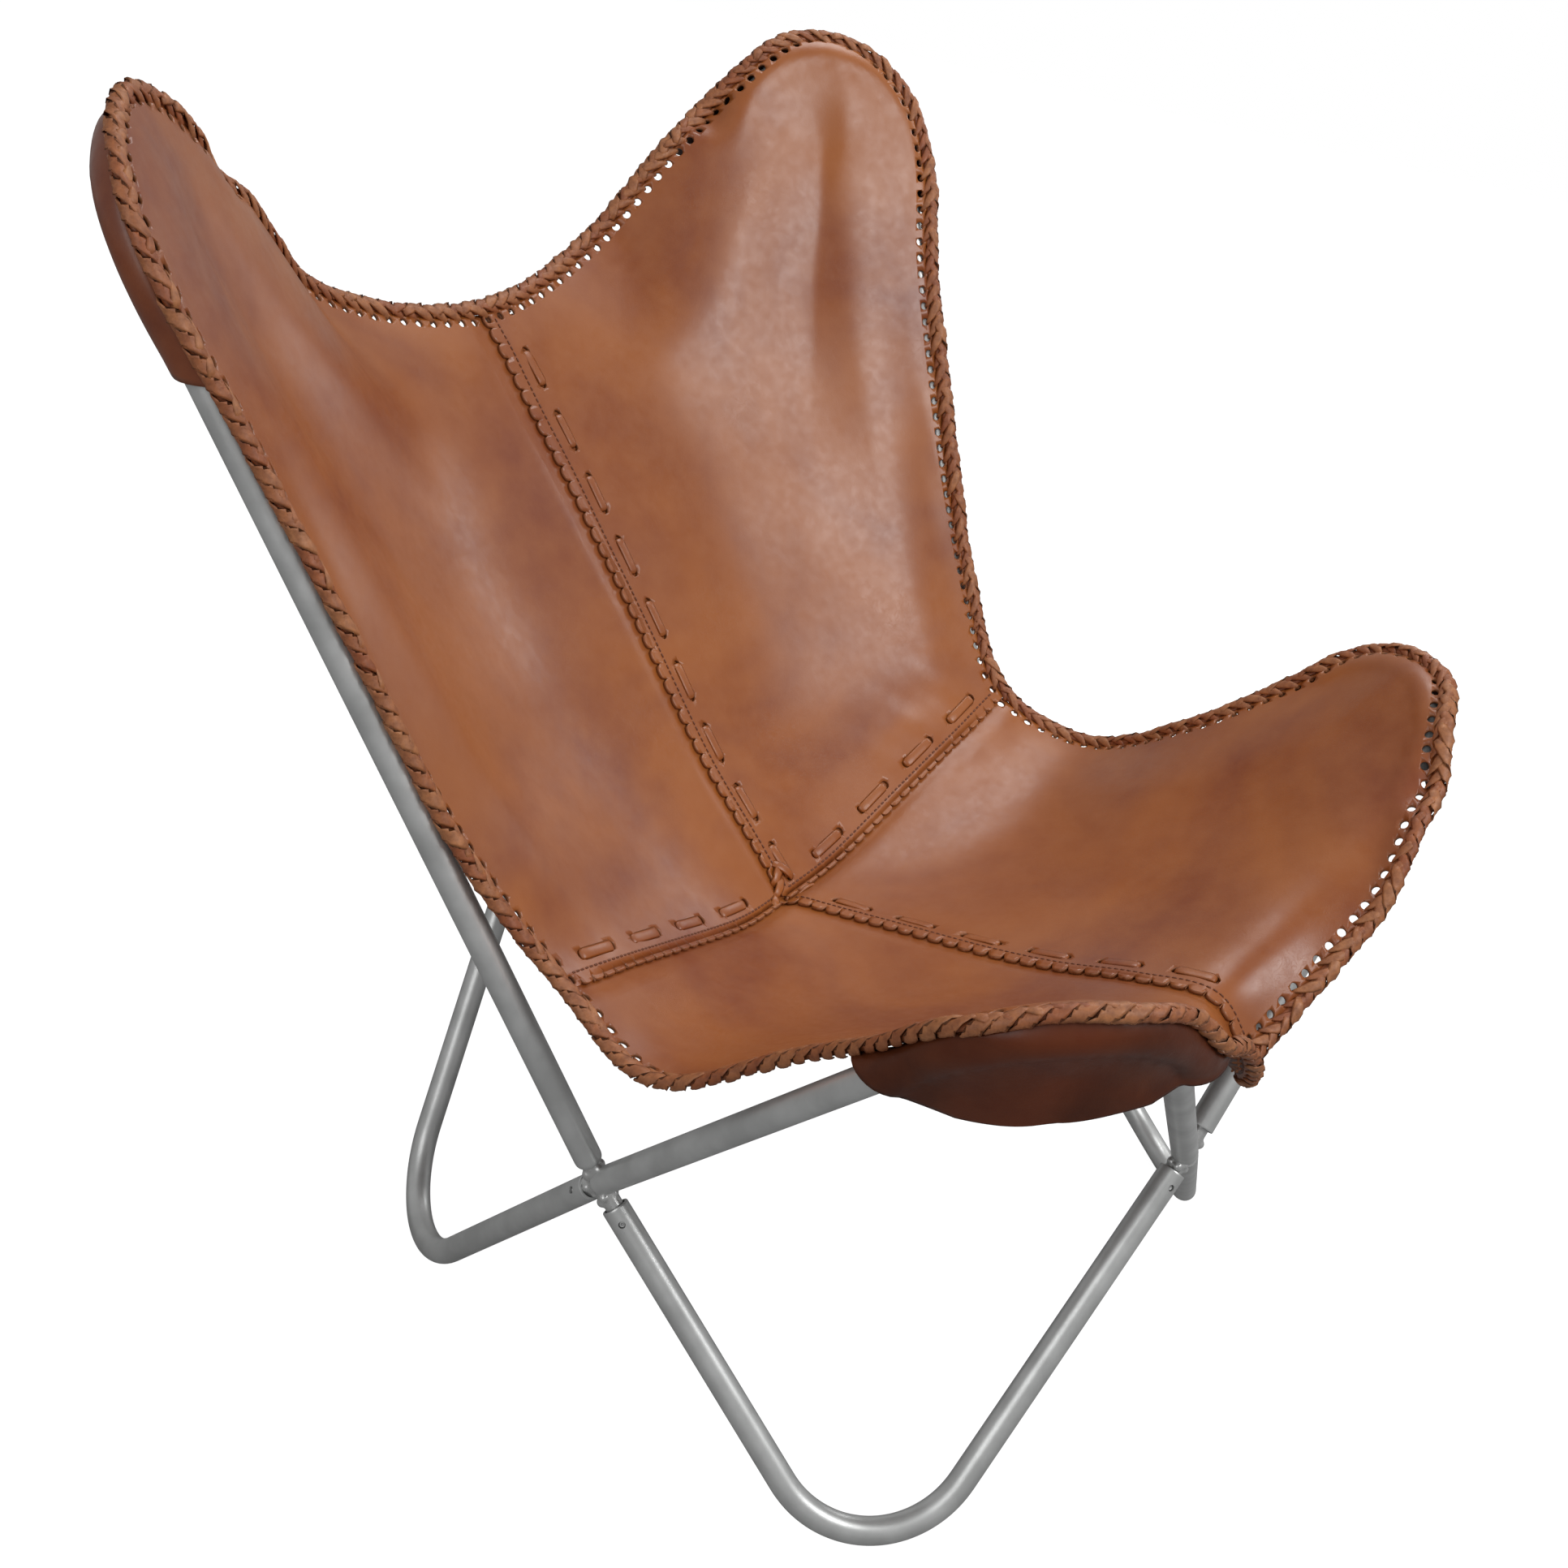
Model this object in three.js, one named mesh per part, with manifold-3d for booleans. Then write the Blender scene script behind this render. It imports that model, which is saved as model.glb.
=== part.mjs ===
// Butterfly sling chair: a knock-down steel tube frame with a laced leather sling.
// Millimetres, +Z up, origin on the floor under the middle of the chair.
// The chair faces -Y. Right and left are the sitter's, so right is -X.

import * as THREE from 'three';
import { mergeVertices } from 'three/addons/utils/BufferGeometryUtils.js';
import Module from 'manifold-3d';

const wasm = await Module();
wasm.setup();

// Frame tube
const tubeDiameter = 20;
const tubeWall = 1.5;
const floorFlatDepth = 0.5;
const footBendRadius = 79;
const wingBendRadius = 77;

// Crossings, where four tube ends meet at the middle of each side
const frontCrossingForward = 329;
const frontCrossingHeight = 237;
const backCrossingBack = 284;
const backCrossingHeight = 348;
const sideCrossingHalfWidth = 292;
const sideCrossingForward = 14;
const sideCrossingHeight = 214;

// Corners of the bent tubes before the bend rounds them off
const frontFootHalfWidth = 285;
const frontFootForward = 276;
const backFootHalfWidth = 264;
const backFootBack = 224;
const frontWingHalfWidth = 338;
const frontWingForward = 372;
const frontWingHeight = 607;
const backWingHalfWidth = 469;
const backWingBack = 405;
const backWingHeight = 1083;

// Crossing rods, their weld and the tube ends round them
const rodClearance = 0.3;
const rodInsertion = 42;
const wingEndStandoff = 22;
const legEndStandoff = 25;
const weldDiameter = 21;

// Grub screws near the leg ends
const screwDiameter = 4.4;
const screwSetback = 12;
const screwSeatDepth = 1.6;

// Leather
const leatherThickness = 2.6;
const seamGap = 0.3;
const layerGap = 0.9;
const creaseGap = 2.2;
const lapGap = 0.9;
const lapWidth = 22;
const lapDipWidth = 11;
const tubeClearance = 1.4;
const edgeReach = 18;
const drapeHalfWidth = 27;
const wrapFade = 40;
const slingLowBack = 38;
const slingLowHeight = 290;
const backBelly = 8;
const seatBelly = 10;
const backPocketLength = 190;
const frontPocketLength = 170;
const backPocketPast = 12;
const pocketSag = 7;
const pocketEdgeSlack = 2;

// Lacing
const laceWidth = 7;
const laceThickness = 1.6;
const laceInset = 16;
const laceGap = 0.95;
const braidDiameter = 10;
const braidGap = 0.6;

// How fine the faceted shapes are
const tubeSides = 12;
const bendSteps = 10;
const braidSides = 8;
const braidStepsPerEdge = 19;
const panelColumns = 10;
const panelRows = 10;
const pocketSteps = 5;
const cutOverrun = 5;

// Distances of the closest grid lines from the leather's edge, as shares of its reach past the tube
const edgeLineShares = [2.4, 1.55, 1.05, 0.75, 0.45, 0.2];
const pocketMiddleShare = 0.62;
const drapeSlopeShare = 0.4;
const steepestShare = 0.4;
const lapEndShare = 0.78;
const laceStartShare = 0.06;
const laceEndShare = 0.95;

// Half of the sling's outline, as shares of the way from its lowest seam point to the wing tip
const backEdgeShares = [[0, 1.19, 0.69], [0.39, 1.245, 0.742], [0.67, 1.225, 0.878]];
const backSideShares = [[1.048, 0.6, 0.725], [0.872, 0.14, 0.275]];
const waistEndShares = [0.81, -0.065, 0.151];
const frontSideShares = [[1.085, 0.285, 0.272], [1.03, 0.542, 0.535], [1.09, 0.715, 0.77]];
const frontEdgeShares = [[0.56, 1.16, 0.69], [0.24, 1.1, 0.37], [0, 1.065, 0.22]];

// Turns of the wing bend that carry the rounded corners of the sling
const backCornerShares = [0.33, 0.5, 0.67, 0.85];
const frontCornerShares = [0.17, 0.33, 0.5, 0.67];

// The seams, as shares of the same way, or of the way to the end of the waist seam
const backSeamShares = [[0.312, 0.154], [0.589, 0.328], [0.863, 0.498]];
const seatSeamShares = [[0.274, 0.075], [0.466, 0.14], [0.647, 0.219], [0.816, 0.311], [0.975, 0.362]];
const waistSeamShares = [[0.2, 0.08], [0.53, 0.45]];

const steel = new THREE.MeshStandardMaterial({ color: 0x9a9b98, roughness: 0.42, metalness: 0.8 });
const weldSteel = new THREE.MeshStandardMaterial({ color: 0x8c8d8c, roughness: 0.5, metalness: 0.8 });
const leather = new THREE.MeshStandardMaterial({ color: 0xa8683f, roughness: 0.42, metalness: 0 });
const laceLeather = new THREE.MeshStandardMaterial({ color: 0x8f5030, roughness: 0.5, metalness: 0 });

const tubeRadius = tubeDiameter / 2;
const flatShare = Math.cos(Math.PI / tubeSides);
const rodRadius = (tubeRadius - tubeWall) * flatShare - rodClearance;
const vector = (x, y, z) => new THREE.Vector3(x, y, z);
const mirrored = (point, side) => vector(side * point.x, point.y, point.z);
const group = new THREE.Group();

function addMesh(name, geometry, material) {
  const mesh = new THREE.Mesh(geometry, material);
  mesh.name = name;
  group.add(mesh);
}

// Solids for cuts and joins

function toSolid(geometry) {
  const bare = geometry.clone();
  bare.deleteAttribute('normal');
  bare.deleteAttribute('uv');
  const merged = mergeVertices(bare);
  return new wasm.Manifold(new wasm.Mesh({
    numProp: 3,
    vertProperties: new Float32Array(merged.attributes.position.array),
    triVerts: new Uint32Array(merged.index.array),
  }));
}

function toGeometry(solid) {
  const mesh = solid.getMesh();
  const geometry = new THREE.BufferGeometry();
  geometry.setAttribute('position', new THREE.BufferAttribute(new Float32Array(mesh.vertProperties), 3));
  geometry.setIndex(new THREE.BufferAttribute(new Uint32Array(mesh.triVerts), 1));
  return geometry;
}

function rodBetween(start, end, radius) {
  const geometry = new THREE.CylinderGeometry(radius, radius, start.distanceTo(end), tubeSides);
  const along = end.clone().sub(start).normalize();
  geometry.applyQuaternion(new THREE.Quaternion().setFromUnitVectors(vector(0, 1, 0), along));
  const middle = start.clone().add(end).multiplyScalar(0.5);
  geometry.translate(middle.x, middle.y, middle.z);
  return geometry;
}

// Centre line of a tube with one bend: two straight arms that meet at a rounded corner

class BentPath extends THREE.Curve {
  constructor(start, corner, end, bendRadius) {
    super();
    this.start = start;
    this.end = end;
    this.corner = corner;
    this.bendRadius = bendRadius;
    this.toStart = start.clone().sub(corner).normalize();
    this.toEnd = end.clone().sub(corner).normalize();
    this.halfAngle = this.toStart.angleTo(this.toEnd) / 2;
    this.inward = this.toStart.clone().add(this.toEnd).normalize();
    this.normal = this.toStart.clone().cross(this.toEnd).normalize();
    this.centre = corner.clone().addScaledVector(this.inward, bendRadius / Math.sin(this.halfAngle));
  }

  bendPoint(share, radius = this.bendRadius) {
    const turn = (share - 0.5) * (Math.PI - 2 * this.halfAngle);
    const along = this.normal.clone().cross(this.inward);
    return this.centre.clone()
      .addScaledVector(this.inward, -radius * Math.cos(turn))
      .addScaledVector(along, radius * Math.sin(turn));
  }

  getPoint(share) {
    const step = share * (bendSteps + 2);
    if (step <= 1) return this.start.clone().lerp(this.bendPoint(0), step);
    if (step >= bendSteps + 1) return this.bendPoint(1).lerp(this.end, step - bendSteps - 1);
    return this.bendPoint((step - 1) / bendSteps);
  }

  getUtoTmapping(share) {
    return share;
  }

  armPoint(onStart, past, reach) {
    const arm = onStart ? this.toStart : this.toEnd;
    const out = this.inward.clone().negate().addScaledVector(arm, this.inward.dot(arm)).normalize();
    return this.bendPoint(onStart ? 0 : 1).addScaledVector(arm, past).addScaledVector(out, reach);
  }

  // Nearest point of the centre line to a point in its plane, the way out of the bend there, and
  // how far past the bend it is
  nearest(point) {
    const spoke = point.clone().sub(this.centre);
    const turn = this.inward.clone().negate().angleTo(spoke);
    if (turn <= Math.PI / 2 - this.halfAngle) {
      const out = spoke.normalize();
      return { at: this.centre.clone().addScaledVector(out, this.bendRadius), out, past: 0 };
    }
    const found = [true, false].map((onStart) => {
      const arm = onStart ? this.toStart : this.toEnd;
      const bendEnd = this.armPoint(onStart, 0, 0);
      const past = Math.max(0, point.clone().sub(bendEnd).dot(arm));
      const at = bendEnd.clone().addScaledVector(arm, past);
      const out = this.armPoint(onStart, 0, 1).sub(bendEnd);
      return { at, out, past, away: at.distanceTo(point) };
    });
    return found[0].away < found[1].away ? found[0] : found[1];
  }
}

// Frame

const crossings = {
  front: vector(0, -frontCrossingForward, frontCrossingHeight),
  back: vector(0, backCrossingBack, backCrossingHeight),
  left: vector(sideCrossingHalfWidth, -sideCrossingForward, sideCrossingHeight),
};
crossings.right = mirrored(crossings.left, -1);

// A leg's corner lies below the floor, at the depth that stands its bend on the floor
function footPath(side, halfWidth, along, endCrossing) {
  const corner = vector(side * halfWidth, along, 0);
  const sideCrossing = side > 0 ? crossings.left : crossings.right;
  const lowestCentre = tubeRadius * flatShare - floorFlatDepth;
  let path = null;
  for (let pass = 0; pass < 12; pass += 1) {
    path = new BentPath(sideCrossing, corner.clone(), endCrossing, footBendRadius);
    const slope = Math.sqrt(1 - path.normal.z * path.normal.z);
    corner.z += lowestCentre - (path.centre.z - footBendRadius * slope);
  }
  return path;
}

function wingPath(side, halfWidth, along, height, endCrossing) {
  const sideCrossing = side > 0 ? crossings.left : crossings.right;
  return new BentPath(sideCrossing, vector(side * halfWidth, along, height), endCrossing, wingBendRadius);
}

function shortened(path, standoff) {
  return new BentPath(
    path.start.clone().addScaledVector(path.toStart, -standoff),
    path.corner,
    path.end.clone().addScaledVector(path.toEnd, -standoff),
    path.bendRadius,
  );
}

function tubeGeometry(path) {
  const section = new THREE.Shape().absarc(0, 0, tubeRadius, 0, 2 * Math.PI);
  section.holes.push(new THREE.Path().absarc(0, 0, tubeRadius - tubeWall, 0, 2 * Math.PI));
  return new THREE.ExtrudeGeometry(section, {
    steps: bendSteps + 2,
    curveSegments: tubeSides / 2,
    extrudePath: path,
  });
}

// Where a grub screw sits on a leg arm: near its end, on the outer upper face
function screwSeat(crossing, arm) {
  const outward = vector(crossing.x, crossing.y, 0).normalize().add(vector(0, 0, 1));
  const out = outward.addScaledVector(arm, -outward.dot(arm)).normalize();
  const at = crossing.clone().addScaledVector(arm, legEndStandoff + screwSetback);
  return { at, out };
}

function screwRod(seat, radius, from, to) {
  const start = seat.at.clone().addScaledVector(seat.out, from);
  const end = seat.at.clone().addScaledVector(seat.out, to);
  return rodBetween(start, end, radius);
}

const sideSigns = { right: -1, left: 1 };
const arms = { front: [], back: [], right: [], left: [] };
const screwSeats = { front: [], back: [], right: [], left: [] };
const wings = {};
const screwFloor = rodRadius - screwSeatDepth;
const screwHoleRadius = screwDiameter / 2 + seamGap;

for (const [sideName, side] of Object.entries(sideSigns)) {
  const ends = [
    ['front', frontFootHalfWidth, -frontFootForward, frontWingHalfWidth, -frontWingForward, frontWingHeight],
    ['back', backFootHalfWidth, backFootBack, backWingHalfWidth, backWingBack, backWingHeight],
  ];
  for (const [endName, footHalf, footAlong, wingHalf, wingAlong, wingHeight] of ends) {
    const leg = footPath(side, footHalf, footAlong, crossings[endName]);
    const wing = wingPath(side, wingHalf, wingAlong, wingHeight, crossings[endName]);
    wings[`${sideName}_${endName}`] = wing;
    let solid = toSolid(tubeGeometry(shortened(leg, legEndStandoff)));
    const slabSize = 2 * (frontFootHalfWidth + footBendRadius);
    const slab = new THREE.BoxGeometry(slabSize, slabSize, tubeDiameter);
    slab.translate(0, footAlong, -tubeRadius);
    solid = solid.subtract(toSolid(slab));
    const legArms = [[sideName, leg.toStart], [endName, leg.toEnd]];
    legArms.forEach(([crossingName, direction], index) => {
      const arm = direction.clone().negate();
      const seat = screwSeat(crossings[crossingName], arm);
      solid = solid.subtract(toSolid(screwRod(seat, screwHoleRadius, rodRadius, tubeRadius + cutOverrun)));
      screwSeats[crossingName].push(seat);
      arms[crossingName].push(arm);
      addMesh(`${sideName}_${endName}_leg_screw_${index + 1}`,
        screwRod(seat, screwDiameter / 2, screwFloor + seamGap, tubeRadius), weldSteel);
    });
    arms[sideName].push(wing.toStart.clone().negate());
    arms[endName].push(wing.toEnd.clone().negate());
    addMesh(`${sideName}_${endName}_leg`, toGeometry(solid), steel);
    addMesh(`${sideName}_${endName}_wing`, tubeGeometry(shortened(wing, wingEndStandoff)), steel);
  }
}

for (const [name, centre] of Object.entries(crossings)) {
  const weld = new THREE.SphereGeometry(weldDiameter / 2, tubeSides, tubeSides / 2);
  weld.translate(centre.x, centre.y, centre.z);
  let solid = toSolid(weld);
  for (const arm of arms[name]) {
    const reach = legEndStandoff + rodInsertion;
    solid = solid.add(toSolid(rodBetween(centre, centre.clone().addScaledVector(arm, reach), rodRadius)));
  }
  for (const seat of screwSeats[name]) {
    solid = solid.subtract(toSolid(screwRod(seat, screwHoleRadius, screwFloor, tubeRadius)));
  }
  addMesh(`${name}_crossing`, toGeometry(solid), weldSteel);
}

// Sling: landmarks of the left half, mirrored for the right half

const leftWings = { back: wings.left_back, front: wings.left_front };
const slingLow = vector(0, slingLowBack, slingLowHeight);
const tips = { back: leftWings.back.bendPoint(0.5), front: leftWings.front.bendPoint(0.5) };

// The sitter's side of each wing's plane
const facing = {
  back: leftWings.back.normal.clone(),
  front: leftWings.front.normal.clone(),
};
if (facing.back.y > 0) facing.back.negate();
if (facing.front.z < 0) facing.front.negate();

function atShares(tip, [xShare, yShare, zShare]) {
  return vector(
    xShare * tip.x,
    slingLow.y + yShare * (tip.y - slingLow.y),
    slingLow.z + zShare * (tip.z - slingLow.z),
  );
}

// On each wing path the bend runs from the side arm to the arm of the end crossing
const cornerPoint = (end, share) => leftWings[end].bendPoint(share, wingBendRadius + edgeReach);
const waistEnd = atShares(tips.back, waistEndShares);
const outline = [
  ...backEdgeShares.map((shares) => atShares(tips.back, shares)),
  ...backCornerShares.map((share) => cornerPoint('back', 1 - share)),
  leftWings.back.armPoint(true, backPocketPast, edgeReach),
  ...backSideShares.map((shares) => atShares(tips.back, shares)),
  waistEnd,
  ...frontSideShares.map((shares) => atShares(tips.front, shares)),
  ...frontCornerShares.map((share) => cornerPoint('front', share)),
  ...frontEdgeShares.map((shares) => atShares(tips.front, shares)),
];
const backCornerIndex = backEdgeShares.length + backCornerShares.indexOf(0.5);
const waistIndex = outline.indexOf(waistEnd);
const frontCornerIndex = waistIndex + 1 + frontSideShares.length + frontCornerShares.indexOf(0.5);
const frontIndex = outline.length - 1;
const otherHalf = outline.slice(1, frontIndex).map((point) => mirrored(point, -1)).reverse();
const edgeCurve = new THREE.CatmullRomCurve3([...outline, ...otherHalf], true, 'centripetal');

// A stretch of the edge between two landmarks, walked by length
function edgeStretch(fromIndex, toIndex) {
  const samples = 160;
  const count = edgeCurve.points.length;
  const points = [];
  for (let i = 0; i <= samples; i += 1) {
    const index = fromIndex + ((toIndex - fromIndex) * i) / samples;
    points.push(edgeCurve.getPoint(index / count));
  }
  return byLength(points);
}

function byLength(points) {
  const lengths = [0];
  for (let i = 1; i < points.length; i += 1) {
    lengths.push(lengths[i - 1] + points[i].distanceTo(points[i - 1]));
  }
  const total = lengths[lengths.length - 1];
  return (share) => {
    const wanted = Math.min(Math.max(share, 0), 1) * total;
    let i = 1;
    while (i < points.length - 1 && lengths[i] < wanted) i += 1;
    const part = (wanted - lengths[i - 1]) / (lengths[i] - lengths[i - 1]);
    return points[i - 1].clone().lerp(points[i], part);
  };
}

function smoothLine(points) {
  return byLength(new THREE.CatmullRomCurve3(points, false, 'centripetal').getPoints(120));
}

const seamPoint = (tip, [yShare, zShare]) => atShares(tip, [0, yShare, zShare]);
const backSeam = smoothLine([
  slingLow, ...backSeamShares.map((shares) => seamPoint(tips.back, shares)), outline[0],
]);
const seatSeam = smoothLine([
  slingLow, ...seatSeamShares.map((shares) => seamPoint(tips.front, shares)), outline[frontIndex],
]);
const waistSeam = smoothLine([
  slingLow,
  ...waistSeamShares.map(([acrossShare, riseShare]) => vector(
    acrossShare * waistEnd.x,
    slingLow.y + acrossShare * (waistEnd.y - slingLow.y),
    slingLow.z + riseShare * (waistEnd.z - slingLow.z),
  )),
  waistEnd,
]);

// Half a panel's outline: the waist and outer edges run outwards, the seam and side edges away
// from the waist
const panelEdges = {
  back: {
    seam: backSeam,
    outer: edgeStretch(0, backCornerIndex),
    side: edgeStretch(waistIndex, backCornerIndex),
    belly: backBelly,
  },
  seat: {
    seam: seatSeam,
    outer: edgeStretch(frontIndex, frontCornerIndex),
    side: edgeStretch(waistIndex, frontCornerIndex),
    belly: seatBelly,
  },
};
const panelWing = { back: 'back', seat: 'front' };

const smooth = (share) => share * share * (3 - 2 * share);
const mix = (from, to, share) => from + (to - from) * share;
const clearHeight = tubeRadius + leatherThickness / 2 + tubeClearance;
const edgeHeight = (leatherThickness + layerGap) / 2;

// How far the leather has to stand off the wing's plane to pass over the tube. It wraps round the
// outside of the bend, and drapes across the arms further on.
function heightOver(place, distance, outside) {
  const draped = clearHeight - drapeSlopeShare * Math.max(0, distance - drapeHalfWidth);
  if (!outside) return draped;
  const share = Math.min(distance / edgeReach, 1);
  const wrapped = edgeHeight + (clearHeight - edgeHeight) * Math.sqrt(1 - share * share)
    - Math.max(0, distance - edgeReach);
  return mix(wrapped, draped, smooth(Math.min(place.past / wrapFade, 1)));
}

// Middle surface of the left half of a panel, draped in front of the wing tube
function drapedPoint(panelName, across, along) {
  const { seam, outer, side, belly } = panelEdges[panelName];
  const point = waistSeam(across).multiplyScalar(1 - along)
    .addScaledVector(outer(across), along)
    .addScaledVector(seam(along), 1 - across)
    .addScaledVector(side(along), across)
    .addScaledVector(waistSeam(0), -(1 - across) * (1 - along))
    .addScaledVector(waistSeam(1), -across * (1 - along))
    .addScaledVector(outer(0), -(1 - across) * along)
    .addScaledVector(outer(1), -across * along);
  const end = panelWing[panelName];
  const front = facing[end];
  point.addScaledVector(front, -belly * Math.sin(Math.PI * across) * Math.sin(Math.PI * along));
  const wing = leftWings[end];
  const natural = point.clone().sub(wing.centre).dot(front);
  const flat = point.clone().addScaledVector(front, -natural);
  const place = wing.nearest(flat);
  const away = flat.clone().sub(place.at);
  const distance = away.length();
  const outside = away.dot(place.out) > 0;
  const height = Math.max(natural, heightOver(place, distance, outside));
  const draped = flat.clone().addScaledVector(front, height);
  return { point: draped, natural: point, height, place, distance, outside };
}

// A closed sheet of one thickness over a grid of middle points. The keep test leaves cells out.
function sheetSolid(nodes, thickness, keep, side) {
  const columns = nodes.length;
  const rows = nodes[0].length;
  const kept = (i, j) => i >= 0 && j >= 0 && i < columns - 1 && j < rows - 1 && keep(i, j);
  const index = new Map();
  const positions = [];
  const triangles = [];
  const onCell = (i, j) => kept(i, j) || kept(i - 1, j) || kept(i, j - 1) || kept(i - 1, j - 1);
  const usable = (i, j) => i >= 0 && j >= 0 && i < columns && j < rows && onCell(i, j);
  const normalAt = (i, j) => {
    const west = usable(i - 1, j) ? nodes[i - 1][j] : nodes[i][j];
    const east = usable(i + 1, j) ? nodes[i + 1][j] : nodes[i][j];
    const south = usable(i, j - 1) ? nodes[i][j - 1] : nodes[i][j];
    const north = usable(i, j + 1) ? nodes[i][j + 1] : nodes[i][j];
    const acrossWay = east.clone().sub(west);
    const alongWay = north.clone().sub(south);
    const normal = acrossWay.cross(alongWay);
    if (normal.length() < 0.02 * east.distanceTo(west) * north.distanceTo(south)) {
      const inner = nodes[i - 1][j - 1];
      const ahead = nodes[i][j - 1].clone().sub(inner);
      return ahead.cross(nodes[i - 1][j].clone().sub(inner)).normalize();
    }
    return normal.normalize();
  };
  const vertex = (i, j, top) => {
    const key = `${i},${j},${top}`;
    if (!index.has(key)) {
      const offset = (top ? thickness : -thickness) / 2;
      const point = nodes[i][j].clone().addScaledVector(normalAt(i, j), offset);
      index.set(key, positions.length / 3);
      positions.push(side * point.x, point.y, point.z);
    }
    return index.get(key);
  };
  const triangle = (a, b, c) => triangles.push(...(side > 0 ? [a, b, c] : [a, c, b]));
  const quad = (a, b, c, d) => {
    triangle(a, b, c);
    triangle(a, c, d);
  };
  const wall = (i1, j1, i2, j2) => {
    quad(vertex(i1, j1, false), vertex(i2, j2, false), vertex(i2, j2, true), vertex(i1, j1, true));
  };
  for (let i = 0; i < columns - 1; i += 1) {
    for (let j = 0; j < rows - 1; j += 1) {
      if (!kept(i, j)) continue;
      quad(vertex(i, j, true), vertex(i + 1, j, true), vertex(i + 1, j + 1, true), vertex(i, j + 1, true));
      quad(vertex(i, j, false), vertex(i, j + 1, false), vertex(i + 1, j + 1, false), vertex(i + 1, j, false));
      if (!kept(i, j - 1)) wall(i, j, i + 1, j);
      if (!kept(i + 1, j)) wall(i + 1, j, i + 1, j + 1);
      if (!kept(i, j + 1)) wall(i + 1, j + 1, i, j + 1);
      if (!kept(i - 1, j)) wall(i, j + 1, i, j);
    }
  }
  const geometry = new THREE.BufferGeometry();
  geometry.setAttribute('position', new THREE.BufferAttribute(new Float32Array(positions), 3));
  geometry.setIndex(triangles);
  return geometry;
}

// Grid lines are closer together near the outer edges, where the leather rounds the tube
function gridShares(length, count) {
  const edgeShares = edgeLineShares.map((share) => 1 - (share * edgeReach) / length);
  const shares = [];
  for (let i = 0; i < count; i += 1) shares.push((edgeShares[0] * i) / count);
  return [...shares, ...edgeShares, 1];
}



const lapDrop = leatherThickness + lapGap;
const waistWidth = waistEnd.distanceTo(slingLow);
const edgeLength = (edge) => {
  let length = 0;
  for (let i = 0; i < 20; i += 1) length += edge(i / 20).distanceTo(edge((i + 1) / 20));
  return length;
};

// The way up from the leather at a place on the left half, on the sitter's side
function upFrom(panelName, across, along) {
  const step = 0.01;
  const from = Math.min(across, 1 - step);
  const up = Math.min(along, 1 - step);
  const base = drapedPoint(panelName, from, up).point;
  const toSide = drapedPoint(panelName, from + step, up).point.sub(base);
  const onward = drapedPoint(panelName, from, up + step).point.sub(base);
  const normal = toSide.cross(onward).normalize();
  return panelName === 'back' ? normal : normal.negate();
}

// Grid lines of half a panel, as shares outwards and away from the waist
function panelGrid(panelName) {
  const { seam, outer, side } = panelEdges[panelName];
  const length = edgeLength(seam);
  const across = gridShares(edgeLength(outer), panelColumns);
  const along = gridShares(edgeLength(side), panelRows);
  across.splice(0, 1, creaseGap / 2 / waistWidth, (lapWidth + lapGap) / waistWidth);
  const firstGap = panelName === 'back' ? creaseGap : seamGap;
  along.splice(0, 1, firstGap / 2 / length, (lapWidth + lapGap) / length);
  return { across, along, length };
}

// Each seat panel laps under its back panel, and each right panel under its left panel
function panelSheet(panelName, side) {
  const underSeam = side < 0;
  const underWaist = panelName === 'seat';
  const { across, along, length } = panelGrid(panelName);
  if (underSeam) {
    across.splice(1, 0, lapDipWidth / waistWidth);
    across.unshift(-lapWidth / waistWidth);
  }
  if (underWaist) {
    along.splice(1, 0, lapDipWidth / length);
    along.unshift(-lapWidth / edgeLength(panelEdges.back.seam));
  }
  const node = (a, b) => {
    const dipAcross = underSeam ? 1 - Math.min(Math.max((a * waistWidth) / lapDipWidth, 0), 1) : 0;
    const dipAlong = underWaist ? 1 - Math.min(Math.max((b * length) / lapDipWidth, 0), 1) : 0;
    const name = b < 0 ? 'back' : panelName;
    const { point } = drapedPoint(name, Math.abs(a), Math.abs(b));
    const up = upFrom(name, Math.abs(a), Math.abs(b));
    const mitre = up.clone();
    const atCrease = b === along[underWaist ? 1 : 0];
    if (atCrease) mitre.add(upFrom(name === 'back' ? 'seat' : 'back', Math.abs(a), 0)).normalize();
    if (a === across[underSeam ? 1 : 0]) mitre.setX(0).normalize();
    point.addScaledVector(mitre, (-lapDrop * Math.max(dipAcross, dipAlong)) / mitre.dot(up));
    return a < 0 ? mirrored(point, -1) : point;
  };
  const firstBody = along.findIndex((share) => share > (lapWidth + lapDipWidth) / length);
  const keep = (i, j) => {
    if (across[i] < 0) return j >= firstBody && along[j] < lapEndShare;
    return along[j] > 0 || across[i] * waistWidth > lapDipWidth - seamGap;
  };
  const nodes = across.map((a) => along.map((b) => node(a, b)));
  return sheetSolid(nodes, leatherThickness, keep, side);
}

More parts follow.
